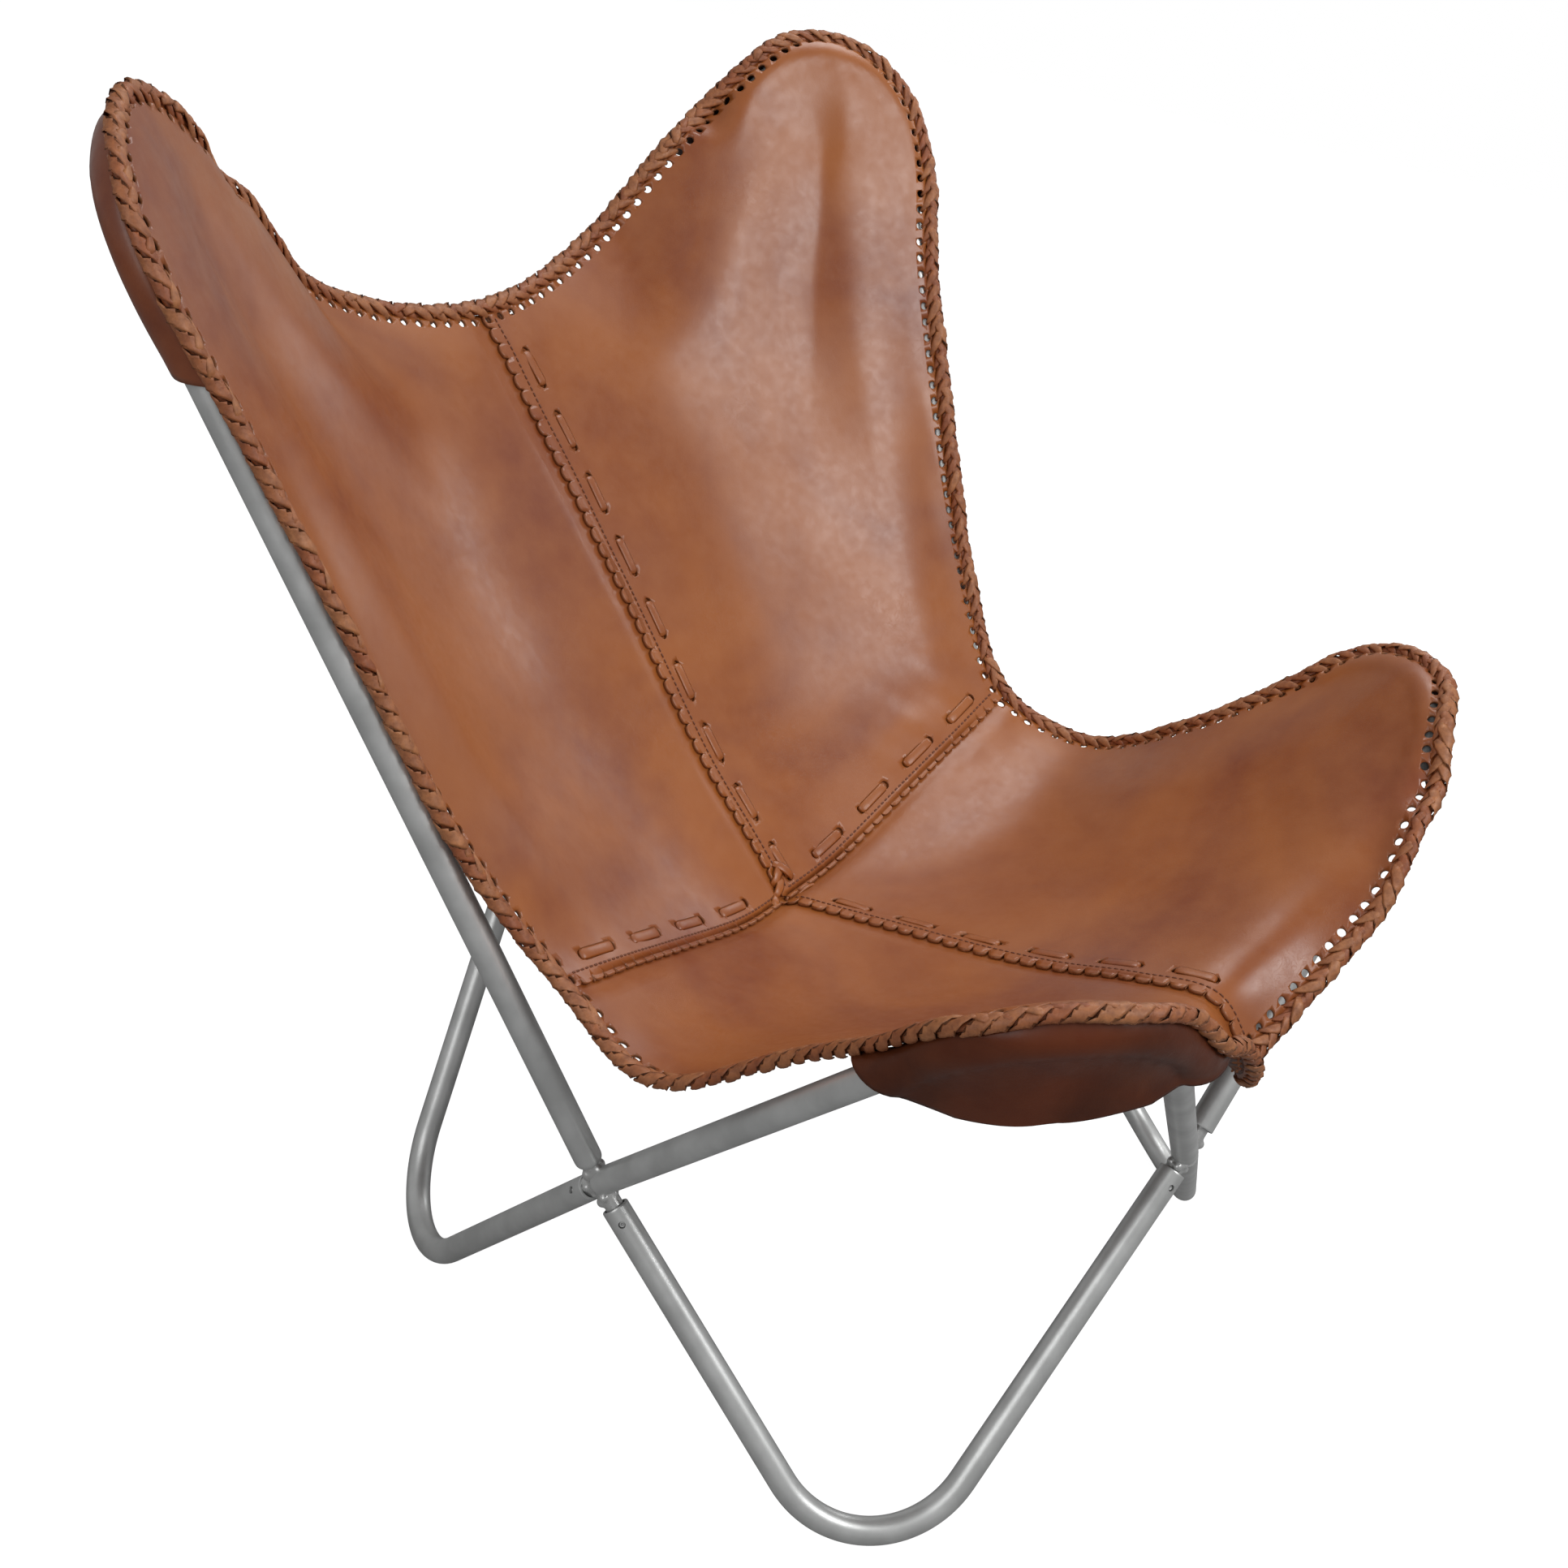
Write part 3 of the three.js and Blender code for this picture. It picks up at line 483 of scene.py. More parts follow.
# Nearest places on a tube's centre line, the way out of its bend there, and how far past the bend
def nearestOn(tube, points):
    spoke = points - tube["centre"]
    away = unit(spoke)
    turn = np.arccos(np.clip(-(away @ tube["inward"]), -1, 1))
    inBend = turn <= math.pi / 2 - tube["half"]
    at = tube["centre"] + away * tube["radius"]
    out, past = away.copy(), np.zeros(points.shape[:-1])
    best = np.where(inBend, -1.0, np.inf)
    for onStart in (True, False):
        arm = tube["toStart"] if onStart else tube["toEnd"]
        foot = armPoint(tube, onStart, 0, 0)
        along = np.maximum((points - foot) @ arm, 0)
        place = foot + along[..., None] * arm
        gap = sizeOf(points - place)
        closer = gap < best
        at = np.where(closer[..., None], place, at)
        out = np.where(closer[..., None], armPoint(tube, onStart, 0, 1) - foot, out)
        past = np.where(closer, along, past)
        best = np.where(closer, gap, best)
    return at, out, past


# A foot's bend is lowered until it lies on the floor with a thin flat
def footTube(corner, otherEnd):
    z, lowest = 0.0, chair["tubeRadius"] - chair["flatDepth"]
    for _ in range(chair["footRounds"]):
        tube = bentTube(crossings["side"], (*corner, z), otherEnd, chair["footBend"])
        slope = math.sqrt(1 - tube["normal"][2] ** 2)
        z += lowest - (tube["centre"][2] - chair["footBend"] * slope)
    return tube


crossings = {name: np.array(chair[f"{name}Crossing"], float) for name in ("front", "back", "side")}
legs = {end: footTube(chair[f"{end}Foot"], crossings[end]) for end in ends}
wings = {end: bentTube(crossings["side"], chair[f"{end}Wing"], crossings[end], chair["wingBend"])
         for end in ends}

tubeLooks = {
    "sides": 36,
    "armSteps": 4,
    "bendSteps": 44,
    "crimpLength": 5.0,
    "crimpShare": 0.74,
    "tailSteps": 8,
    "lip": 0.35,
    "lipLength": 0.8,
    "sharpAbove": 35,
}

# How far each tube end stops from its crossing's middle, and how it is finished
tubeEnds = {
    "leg": {"side": {"front": (20.0, "plain"), "back": (12.0, "plain")},
            "middle": {"right": (16.0, "plain"), "left": (14.0, "plain")}},
    "wing": {"side": {"front": (2.0, "plain"), "back": (18.0, "crimped")},
             "middle": {"right": (2.0, "plain"), "left": (22.0, "plain")}},
}


# A bent tube with open ends. A crimped end is drawn in to a rounded lip round its rod.
def makeTube(name, tube, finishes, side, node, looks):
    tail, sides = looks["crimpLength"], looks["sides"]
    first = tube["start"] - tube["toStart"] * finishes[0][0]
    last = tube["end"] - tube["toEnd"] * finishes[1][0]
    tailShares = (np.linspace(0, 1, looks["tailSteps"] + 1) ** 2)[:, None] * tail
    bend = bendPoint(tube, np.linspace(0, 1, looks["bendSteps"]))
    stops, farStops = first - tube["toStart"] * tailShares, last - tube["toEnd"] * tailShares
    runs = np.linspace(0, 1, looks["armSteps"] + 1)[1:-1, None]
    arm = stops[-1] + (bend[0] - stops[-1]) * runs
    farArm = bend[-1] + (farStops[-1] - bend[-1]) * runs
    path = np.concatenate([stops, arm, bend, farArm, farStops[::-1]])
    u = np.broadcast_to(tube["normal"], path.shape)
    v = np.cross(unit(np.gradient(path, axis=0)), u)
    outer = np.full(len(path), chair["tubeRadius"])
    for place, (_, finish) in zip((first, last), finishes):
        distance = sizeOf(path - place)
        if finish == "crimped":
            share = np.clip(distance / tail, 0, 1)
            outer *= looks["crimpShare"] + (1 - looks["crimpShare"]) * np.sqrt(1 - (1 - share) ** 2)
        else:
            outer -= looks["lip"] * (1 - np.clip(distance / looks["lipLength"], 0, 1))
    cos, sin = circle(sides)
    ring = cos[None, :, None] * u[:, None] + sin[None, :, None] * v[:, None]
    verts = np.concatenate([(path[:, None] + ring * size[:, None, None]).reshape(-1, 3)
                            for size in (outer, outer - chair["tubeWall"])])
    verts[:, 2] = np.maximum(verts[:, 2], 0.0)
    base = len(path) * sides
    end = base - sides
    faces = []
    for a, b, c, d in ringFaces(len(path), sides)[:-2]:
        faces += [(a, d, c, b), (base + a, base + b, base + c, base + d)]
    for k in range(sides):
        n = (k + 1) % sides
        faces += [(k, n, base + n, base + k), (end + n, end + k, base + end + k, base + end + n)]
    piece = meshPiece(name, mirror(verts, side), faces, [tubeSteel])
    turnOutwards(piece)
    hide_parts(node)
    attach(piece, "root")
    return piece


legTubes = {}
for sideName, side in sideSigns.items():
    for end in ends:
        for kind, paths in (("leg", legs), ("wing", wings)):
            finishes = (tubeEnds[kind]["side"][end], tubeEnds[kind]["middle"][sideName])
            piece = makeTube(f"{sideName}{end.title()}{kind.title()}Tube", paths[end], finishes, side,
                             f"{sideName}_{end}_{kind}", tubeLooks)
            if kind == "leg":
                legTubes[sideName, end] = piece
print("chair: frame tubes")

# Sling surface, for the left half.

# Edges are shares of the way from the low point to a wing's tip; corners are shares round its bend
sling = {
    "low": (0, 38, 290),
    "thickness": 2.6,
    "reach": 18.0,
    "tubeClearance": 1.4,
    "layerGap": 0.9,
    "drapeHalfWidth": 27.0,
    "drapeSlope": 0.34,
    "drapeRound": 16.0,
    "wrapFade": 40.0,
    "edgeRise": {-1: 9.0, 1: 0.0},
    "softRim": 100.0,
    "softMeeting": 25.0,
    "belly": {"back": 8.0, "seat": 10.0},
    "sidePast": 12.0,
    "backEdge": [[0, 1.19, 0.69], [0.39, 1.245, 0.742], [0.67, 1.225, 0.878]],
    "backSide": [[1.048, 0.6, 0.725], [0.872, 0.14, 0.275]],
    "waistEnd": [0.81, -0.065, 0.151],
    "frontSide": [[1.085, 0.285, 0.272], [1.03, 0.542, 0.535], [1.09, 0.715, 0.77]],
    "frontEdge": [[0.56, 1.16, 0.69], [0.24, 1.1, 0.37], [0, 1.065, 0.22]],
    "backCorner": [0.67, 0.5, 0.33, 0.15],
    "frontCorner": [0.17, 0.33, 0.5, 0.67],
    "backSeam": [[0.312, 0.154], [0.589, 0.328], [0.863, 0.498]],
    "seatSeam": [[0.274, 0.075], [0.466, 0.14], [0.647, 0.219], [0.816, 0.311], [0.975, 0.362]],
    "waistSeam": [[0.2, 0.08], [0.53, 0.45]],
    "edgeSteps": 900,
    "seamSteps": 700,
}
slingLow = np.array(sling["low"], float)
tips = {end: bendPoint(wings[end], 0.5) for end in ends}
facing = {end: wings[end]["normal"] * (1 if wings[end]["normal"][2] > 0 else -1) for end in ends}


def atShares(tip, shares):
    way = (tip[0], tip[1] - slingLow[1], tip[2] - slingLow[2])
    return np.array([0, slingLow[1], slingLow[2]]) + np.array(shares) * way


# A smooth curve through points that keeps an even pace, open or closed
def smoothThrough(points, closed):
    points = np.array(points, float)
    if closed:
        padded = np.concatenate([points[-1:], points, points[:2]])
    else:
        padded = np.concatenate([2 * points[:1] - points[1:2], points, 2 * points[-1:] - points[-2:-1]])

    def at(index):
        cell = np.minimum(np.floor(index).astype(int), len(padded) - 4)
        part = (index - cell)[..., None]
        p0, p1, p2, p3 = (padded[cell + k] for k in range(4))
        d0, d1, d2 = (np.sqrt(np.linalg.norm(b - a, axis=-1, keepdims=True))
                      for a, b in ((p0, p1), (p1, p2), (p2, p3)))
        t1 = ((p1 - p0) / d0 - (p2 - p0) / (d0 + d1) + (p2 - p1) / d1) * d1
        t2 = ((p2 - p1) / d1 - (p3 - p1) / (d1 + d2) + (p3 - p2) / d2) * d1
        c2, c3 = -3 * p1 + 3 * p2 - 2 * t1 - t2, 2 * p1 - 2 * p2 + t1 + t2
        return p1 + t1 * part + c2 * part ** 2 + c3 * part ** 3

    return at


# A function that gives the place at a share of a line's length, and that length
def walkedByLength(curve, first, last, steps):
    points = curve(np.linspace(first, last, steps))
    lengths = lengthsAlong(points)

    def at(share):
        return valuesAt(np.clip(share, 0, 1) * lengths[-1], lengths, points)

    return at, float(lengths[-1])


def seamLine(points):
    return walkedByLength(smoothThrough(points, False), 0, len(points) - 1, sling["seamSteps"])


def edgeRun(name, tip):
    return [atShares(tip, shares) for shares in sling[name]]


def cornerRun(end):
    radius = chair["wingBend"] + sling["reach"]
    return [bendPoint(wings[end], share, radius) for share in sling[f"{end}Corner"]]


waistEnd = atShares(tips["back"], sling["waistEnd"])
outline = [*edgeRun("backEdge", tips["back"]), *cornerRun("back"),
           armPoint(wings["back"], True, sling["sidePast"], sling["reach"]),
           *edgeRun("backSide", tips["back"]), waistEnd, *edgeRun("frontSide", tips["front"]),
           *cornerRun("front"), *edgeRun("frontEdge", tips["front"])]
backCorner = len(sling["backEdge"]) + 1
waistIndex = len(sling["backEdge"]) + len(sling["backCorner"]) + 1 + len(sling["backSide"])
frontCorner = waistIndex + len(sling["frontSide"]) + 3
frontIndex = len(outline) - 1
edgeCurve = smoothThrough(outline + [mirror(p, -1) for p in outline[1:frontIndex]][::-1], True)

waistStops = [atShares(waistEnd, (across, across, rise)) for across, rise in sling["waistSeam"]]
waistSeam, waistLength = seamLine([slingLow, *waistStops, waistEnd])
panelEdges = {}
for name, end, corner, centre in (("back", "back", backCorner, 0),
                                  ("seat", "front", frontCorner, frontIndex)):
    edges = {"wing": end}
    stops = [slingLow, *(atShares(tips[end], [0, *s]) for s in sling[f"{name}Seam"]), outline[centre]]
    edges["seam"], edges["seamLength"] = seamLine(stops)
    for line, first in (("outer", centre), ("side", waistIndex)):
        edges[line], edges[f"{line}Length"] = walkedByLength(edgeCurve, first, corner, sling["edgeSteps"])
    panelEdges[name] = edges


clearHeight = chair["tubeRadius"] + sling["thickness"] / 2 + sling["tubeClearance"]
edgeHeight = (sling["thickness"] + sling["layerGap"]) / 2


# Height of the hide in front of a wing's plane, where it lies on the tube and rounds over it
def heightOver(past, distance, outside, rise=0.0):
    beyond = softMax(distance - sling["drapeHalfWidth"], 0, sling["drapeRound"])
    draped = clearHeight - sling["drapeSlope"] * beyond
    share = np.minimum(distance / sling["reach"], 1)
    low = edgeHeight + rise
    wrapped = low + (clearHeight - low) * np.sqrt(1 - share ** 2) - np.maximum(0, distance - sling["reach"])
    onward = smoothShare(past / sling["wrapFade"])
    return np.where(outside, wrapped + (draped - wrapped) * onward, draped)


# Middle of the leather on the left half, draped in front of the wing tube. The right back corner has
# slipped a little forwards on its wing, so its edge stands higher.
def drapedSurface(panel, across, along, side=1):
    edges = panelEdges[panel]
    across, along = np.broadcast_arrays(np.asarray(across, float), np.asarray(along, float))
    a, b = across[..., None], along[..., None]
    seam, outer, rim = edges["seam"], edges["outer"], edges["side"]
    point = (waistSeam(across) * (1 - b) + outer(across) * b + seam(along) * (1 - a) + rim(along) * a
             - waistSeam(0) * (1 - a) * (1 - b) - waistSeam(1) * a * (1 - b)
             - outer(0) * (1 - a) * b - outer(1) * a * b)
    front, wing = facing[edges["wing"]], wings[edges["wing"]]
    point = point - front * (sling["belly"][panel] * np.sin(math.pi * a) * np.sin(math.pi * b))
    natural = (point - wing["centre"]) @ front
    flat = point - natural[..., None] * front
    at, out, past = nearestOn(wing, flat)
    away = flat - at
    distance, outside = sizeOf(away), dot(away, out) > 0
    over = heightOver(past, distance, outside, sling["edgeRise"][side] if panel == "back" else 0.0)
    toRim = (1 - np.maximum(across, along)) * edges["outerLength"] / sling["softRim"]
    height = softMax(natural, over, sling["softMeeting"] * smoothShare(toRim))
    return {"point": flat + height[..., None] * front, "natural": point, "height": height, "at": at,
            "out": out, "past": past, "distance": distance, "outside": outside}


def upFrom(panel, across, along, side=1):
    step = 0.004
    a, b = np.minimum(across, 1 - step), np.minimum(along, 1 - step)
    base, beside, onward = (drapedSurface(panel, a + x, b + y, side)["point"]
                            for x, y in ((0, 0), (step, 0), (0, step)))
    normal = unit(np.cross(beside - base, onward - base))
    return normal if panel == "back" else -normal


print("chair: sling surface")

# Leather panels.

panelLooks = {
    "cell": 6.0,
    "lapWidth": 22.0,
    "lapDip": 11.0,
    "lapGap": 0.5,
    "lapReach": 5.0,
    "waveHeight": 1.0,
    "waveLength": 170.0,
    "waveSeed": 5,
    "waveCount": 9,
    "waveRange": (0.6, 1.8),
    "calmRim": 40.0,
    "creaseHeight": 0.4,
    "creaseLength": 26.0,
    "creaseSeed": 8,
    "creasePlace": (0.72, 0.05),
    "creaseSpread": (0.24, 0.13),
}
hideThickness = sling["thickness"]
surfaceLift = hideThickness / 2
lapDrop = hideThickness + panelLooks["lapGap"]
farFromLap = 99.0


# A slow uneven rise and fall over the hide, the same wherever two panels meet
def softWaves(points, seed, length, looks):
    rng = np.random.default_rng(seed)
    total = np.zeros(points.shape[:-1])
    for _ in range(looks["waveCount"]):
        way = unit(rng.normal(size=3))
        size = length * rng.uniform(*looks["waveRange"])
        total += np.sin(points @ way * (2 * math.pi / size) + rng.uniform(0, 2 * math.pi))
    return total / math.sqrt(looks["waveCount"])


# Middle of the hide in mirrored places too, with its waves, creases and the dip under an upper panel
def hideSurface(panel, side, across, along, looks=panelLooks):
    a, b = np.broadcast_arrays(np.asarray(across, float), np.asarray(along, float))
    edges = panelEdges[panel]
    points, normals = np.zeros(a.shape + (3,)), np.zeros(a.shape + (3,))
    other = {"back": "seat", "seat": "back"}[panel]
    for name, mask in ((panel, b >= 0), (other, b < 0)):
        if mask.any():
            points[mask] = drapedSurface(name, np.abs(a[mask]), np.abs(b[mask]), side)["point"]
            normals[mask] = upFrom(name, np.abs(a[mask]), np.abs(b[mask]), side)
    flip = np.where(a < 0, -1.0, 1.0) * side
    points[..., 0] *= flip
    normals[..., 0] *= flip
    toRim = smoothShare((1 - np.maximum(a, b)) * edges["outerLength"] / looks["calmRim"])
    lift = looks["waveHeight"] * softWaves(points, looks["waveSeed"], looks["waveLength"], looks) * toRim
    if side > 0:
        folds = softWaves(points, looks["creaseSeed"], looks["creaseLength"], looks)
        (midA, midB), (wideA, wideB) = looks["creasePlace"], looks["creaseSpread"]
        nearWaist = np.exp(-((a - midA) / wideA) ** 2 - ((b - midB) / wideB) ** 2)
        lift = lift + looks["creaseHeight"] * folds * nearWaist * toRim
    for isUnder, fromLap in ((side < 0, a * waistLength), (panel == "seat", b * edges["seamLength"])):
        if isUnder:
            lift = lift - lapDrop * smoothShare(1 - (fromLap - looks["lapReach"]) / looks["lapDip"])
    return points + normals * lift[..., None], normals


# A closed sheet from a grid of points on its middle: top faces, underside and cut rim
def sheetPiece(name, points, normals, materials):
    rows, columns = points.shape[:2]
    offset = rows * columns
    corner = (np.arange(rows - 1)[:, None] * columns + np.arange(columns - 1)[None, :]).ravel()
    top = np.stack([corner, corner + columns, corner + columns + 1, corner + 1], axis=1)
    under = top[:, ::-1] + offset
    border = [*range(columns), *range(2 * columns - 1, offset, columns),
              *range(offset - 2, offset - columns - 1, -1), *range(offset - 2 * columns, 0, -columns)]
    rim = [(a, b, offset + b, offset + a) for a, b in zip(border, border[1:] + border[:1])]
    flat, up = points.reshape(-1, 3), normals.reshape(-1, 3)
    verts = np.concatenate([flat + up * surfaceLift, flat - up * surfaceLift])
    faces = top.tolist() + under.tolist() + rim
    kinds = [0] * len(top) + [1] * len(under) + [2] * len(rim)
    a, b, c = (verts[top[0][k]] for k in range(3))
    if np.dot(np.cross(b - a, c - b), up[top[0][0]]) < 0:
        faces = [f[::-1] for f in faces]
    return meshPiece(name, verts, faces, materials, kinds)


# Hides the model.glb part that a panel or pocket replaces and attaches the piece to the root body. Panels and
# pockets are all hide, stretched over one wing
def declareLeather(piece, sideName, part):
    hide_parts(f"{sideName}_{part}")
    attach(piece, "root")


# The upper panel of a lap runs a little past the line, where its edge is cut into scallops
def makePanel(panel, sideName, side, looks):
    edges = panelEdges[panel]
    underSeam, underWaist = side < 0, panel == "seat"
    otherLength = panelEdges["back" if underWaist else "seat"]["seamLength"]

    def lines(isUnder, pastLength, length):
        past = looks["lapWidth"] if isUnder else looks["lapReach"]
        inside = np.linspace(0, 1, int(round(length / looks["cell"])) + 1)
        return np.concatenate([np.linspace(-past / pastLength, 0, 4, endpoint=False), inside])

    a, b = np.meshgrid(lines(underSeam, waistLength, edges["outerLength"]),
                       lines(underWaist, otherLength, edges["sideLength"]), indexing="ij")
    points, normals = hideSurface(panel, side, a, b)
    piece = sheetPiece(f"{sideName}{panel.title()}Panel", points, normals, [hide, flesh, hideEdge])
    toSeam = np.full(a.shape, farFromLap) if underSeam else a * waistLength
    toWaist = np.full(a.shape, farFromLap) if underWaist else b * edges["seamLength"]
    toLap = piece.data.attributes.new("toLap", "FLOAT", "POINT")
    toLap.data.foreach_set("value", np.tile(np.minimum(toSeam, toWaist).ravel(), 2))
    return piece, points


panels = {(sideName, panel): makePanel(panel, sideName, side, panelLooks)
          for panel in panelEdges for sideName, side in sideSigns.items()}
print("chair: leather panels")

# Repeated details.


# Geometry Nodes that put one shape on every point, turned by the point's own two ways
def repeatGroup():
    group = bpy.data.node_groups.new("shapeOnEveryPoint", "GeometryNodeTree")
    newSocket, sockets = group.interface.new_socket, {}
    for name, kind in (("Geometry", "Geometry"), ("Shape", "Object"), ("Finish", "Material"),
                       ("Unevenness", "Float"), ("Seed", "Int")):
        sockets[name] = newSocket(name=name, in_out="INPUT", socket_type=f"NodeSocket{kind}").identifier
    newSocket(name="Geometry", in_out="OUTPUT", socket_type="NodeSocketGeometry")
    given = addNode(group, "NodeGroupInput").outputs
    along, up, sizes = (
        addNode(group, "GeometryNodeInputNamedAttribute", {"data_type": "FLOAT_VECTOR"}, {"Name": name})
        .outputs["Attribute"] for name in ("alongWay", "upWay", "sizes"))
    turn = addNode(group, "FunctionNodeAxesToRotation", {"primary_axis": "Z", "secondary_axis": "X"},
                   {"Primary Axis": up, "Secondary Axis": along})
    least, most = (addNode(group, "ShaderNodeMath", {"operation": work}, {0: 1.0, 1: given["Unevenness"]})
                   for work in ("SUBTRACT", "ADD"))
    chance = addNode(group, "FunctionNodeRandomValue", {"data_type": "FLOAT"},
                     {"Seed": given["Seed"], 2: least.outputs[0], 3: most.outputs[0]})
    scale = addNode(group, "ShaderNodeVectorMath", {"operation": "SCALE"},
                    {0: sizes, "Scale": chance.outputs[1]})
    tone = addNode(group, "FunctionNodeRandomValue", {"data_type": "FLOAT"}, {"Seed": given["Seed"]})
    shape = addNode(group, "GeometryNodeObjectInfo", None, {"Object": given["Shape"]})
    toned = addNode(group, "GeometryNodeStoreNamedAttribute", {"data_type": "FLOAT", "domain": "POINT"},
                    {"Geometry": given["Geometry"], "Name": "tone", "Value": tone.outputs[1]})
    copies = addNode(group, "GeometryNodeInstanceOnPoints", None,
                     {"Points": toned.outputs[0], "Instance": shape.outputs["Geometry"],
                      "Rotation": turn.outputs[0], "Scale": scale.outputs[0]})
    real = addNode(group, "GeometryNodeRealizeInstances", None, {"Geometry": copies.outputs[0]})
    finish = addNode(group, "GeometryNodeSetMaterial", None,
                     {"Geometry": real.outputs[0], "Material": given["Finish"]})
    addNode(group, "NodeGroupOutput", None, {"Geometry": finish.outputs[0]})
    return group, sockets


repeatNodes, repeatSockets = repeatGroup()
plainSeed = 11


def shapeObject(name, verts, faces):
    shape = bpy.data.objects.new(name, newMesh(name, np.asarray(verts) / 1000.0, faces))
    turnOutwards(shape)
    return shape


# Points in millimetres; along and up are each point's two ways; sizes scales the shape on its own axes
def repeated(name, shape, points, along, up, finish, unevenness=0.0, sizes=None, seed=plainSeed):
    mesh = newMesh(name, toMetres(points), [])
    sizes = np.ones((len(points), 3)) if sizes is None else sizes
    for key, values in (("alongWay", along), ("upWay", up), ("sizes", sizes)):
        attribute = mesh.attributes.new(key, "FLOAT_VECTOR", "POINT")
        attribute.data.foreach_set("vector", np.ascontiguousarray(values, dtype=np.float32).ravel())
    piece = newObject(name, mesh)
    modifier = piece.modifiers.new("repeat", "NODES")
    modifier.node_group = repeatNodes
    for key, value in (("Shape", shape), ("Finish", finish), ("Unevenness", unevenness), ("Seed", seed)):
        modifier[repeatSockets[key]] = value
    applyModifiers(piece)
    return piece


# Cuts a shape out of pieces at every place; the cut faces get the finish
def cutOut(pieces, name, shape, points, along, up, finish=hideEdge, sizes=None):
    cutter = repeated(name, shape, points, along, up, finish, sizes=sizes)
    for piece in pieces:
        modifier = piece.modifiers.new("cut", "BOOLEAN")
        modifier.operation, modifier.solver, modifier.object = "DIFFERENCE", "MANIFOLD", cutter
        modifier.material_mode = "TRANSFER"
        applyModifiers(piece)
    removePiece(cutter)


def joined(name, pieces, material):
    work = bmesh.new()
    for piece in pieces:
        work.from_mesh(piece.data)
        removePiece(piece)
    mesh = bpy.data.meshes.new(name)
    mesh.materials.append(material)
    work.to_mesh(mesh)
    work.free()
    return newObject(name, mesh)


# A round punch that goes right through the hide
def punchShape(radius, height, sides=14):
    ring = np.stack(circle(sides), axis=1) * radius
    verts = [(x, y, z) for z in (-height, height) for x, y in ring]
    return shapeObject("roundPunch", verts, ringFaces(2, sides))


thongSection = [(-1, 0.0), (-0.62, 0.85), (0.0, 1.15), (0.62, 0.85), (1, 0.0), (0.0, -0.55)]


# A flat thong that follows a path of (along, over, up) places; its middle is a little thicker
def thongShape(name, path, halfWidths, thickness, ups):
    path, ups = np.array(path, float), unit(np.array(ups, float))
    tangent = unit(np.gradient(path, axis=0))
    over = unit(np.cross(ups, tangent))
    up = np.cross(tangent, over)
    verts = [path[i] + over[i] * x * halfWidths[i] + up[i] * z * thickness
             for i in range(len(path)) for x, z in thongSection]
    return shapeObject(name, verts, ringFaces(len(path), len(thongSection)))


# Edge lacing.

# Each wrap is a path of (pitches along, over, up) places in millimetres, with half a width at each
lacingLooks = {
    "pitch": 14.0,
    "holeInset": 7.2,
    "holeRadius": 3.4,
    "pocketHoleRadius": 4.2,
    "punchDepth": 6.0,
    "pocketPunchDepth": 9.0,
    "pocketHoleShift": 1.6,
    "centreReach": 4.0,
    "halfWidth": 5.4,
    "halfHeight": 3.4,
    "coreShare": 0.9,
    "coreSides": 8,
    "tubeClearance": 0.8,
    "pocketLength": 190.0,
    "pocketRoom": 3.5,
    "thickness": 1.1,
    "unevenness": 0.1,
    "wander": 0.8,
    "wanderUp": 0.4,
    "reachRange": (0.85, 1.4),
    "tilt": 0.06,
    "frameRounds": 5,
    "edgeSteps": 260,
    "fromHole": {
        "path": [(-0.06, 8.2, -2.2), (0.04, 7.6, 0.5), (0.30, 5.2, 2.5), (0.68, 1.8, 4.1), (1.02, -1.2, 4.3),
                 (1.30, -3.0, 2.6)],
        "widths": [1.7, 2.2, 3.2, 4.1, 3.8, 2.4],
        "leastUp": 0.4,
        "seed": 3,
    },
    "fromBack": {
        "path": [(-0.62, 0.6, -4.0), (-0.42, -2.4, -3.9), (-0.18, -4.8, -2.4), (0.06, -5.9, -0.2),
                 (0.34, -5.0, 2.3), (0.66, -2.6, 4.0), (1.0, 0.6, 4.5), (1.30, 2.8, 2.8)],
        "widths": [2.8, 3.8, 4.5, 4.9, 4.9, 4.6, 3.8, 2.4],
        "leastUp": -9.0,
        "seed": 4,
    },
}


# Places along one stretch of the sling's edge, with the punched hole inside it
def edgePlaces(panel, onSide, shares, side, looks):
    edges = panelEdges[panel]
    length = edges["sideLength"] if onSide else edges["outerLength"]
    inset = looks["holeInset"] / (edges["outerLength"] if onSide else edges["sideLength"])

    def at(share, within=0.0, find=drapedSurface):
        edge = np.full_like(share, 1 - within)
        return find(panel, *((edge, share) if onSide else (share, edge)), side)

    found, inner, up = at(shares), at(shares, inset), at(shares, inset, upFrom)
    atBend = (found["past"] == 0) & (found["distance"] > sling["reach"] - sling["tubeClearance"])
    out = np.where(atBend[..., None], found["out"], found["natural"] - inner["natural"])
    ahead, behind = (at(np.clip(shares + step, 0, 1))["point"] for step in (1e-3, -1e-3))
    tangent = unit(ahead - behind)
    out = unit(squareTo(tangent, out))
    centre = found["point"] + out * looks["centreReach"]
    away = centre - found["at"]
    wrapped = onSide & ((1 - shares) * length < looks["pocketLength"])
    need = chair["tubeRadius"] + looks["halfHeight"] + looks["tubeClearance"] + wrapped * looks["pocketRoom"]
    centre = centre + unit(away) * np.maximum(need - sizeOf(away), 0)[..., None]
    return centre, inner["point"], up


def halfEdge(side, looks):
    fine = np.linspace(0, 1, looks["edgeSteps"])
    stretches = (("back", False, 1), ("back", True, -1), ("seat", True, 1), ("seat", False, -1))
    parts = [edgePlaces(panel, onSide, fine[::step], side, looks) for panel, onSide, step in stretches]
    return [mirror(np.concatenate(part), side) for part in zip(*parts)]


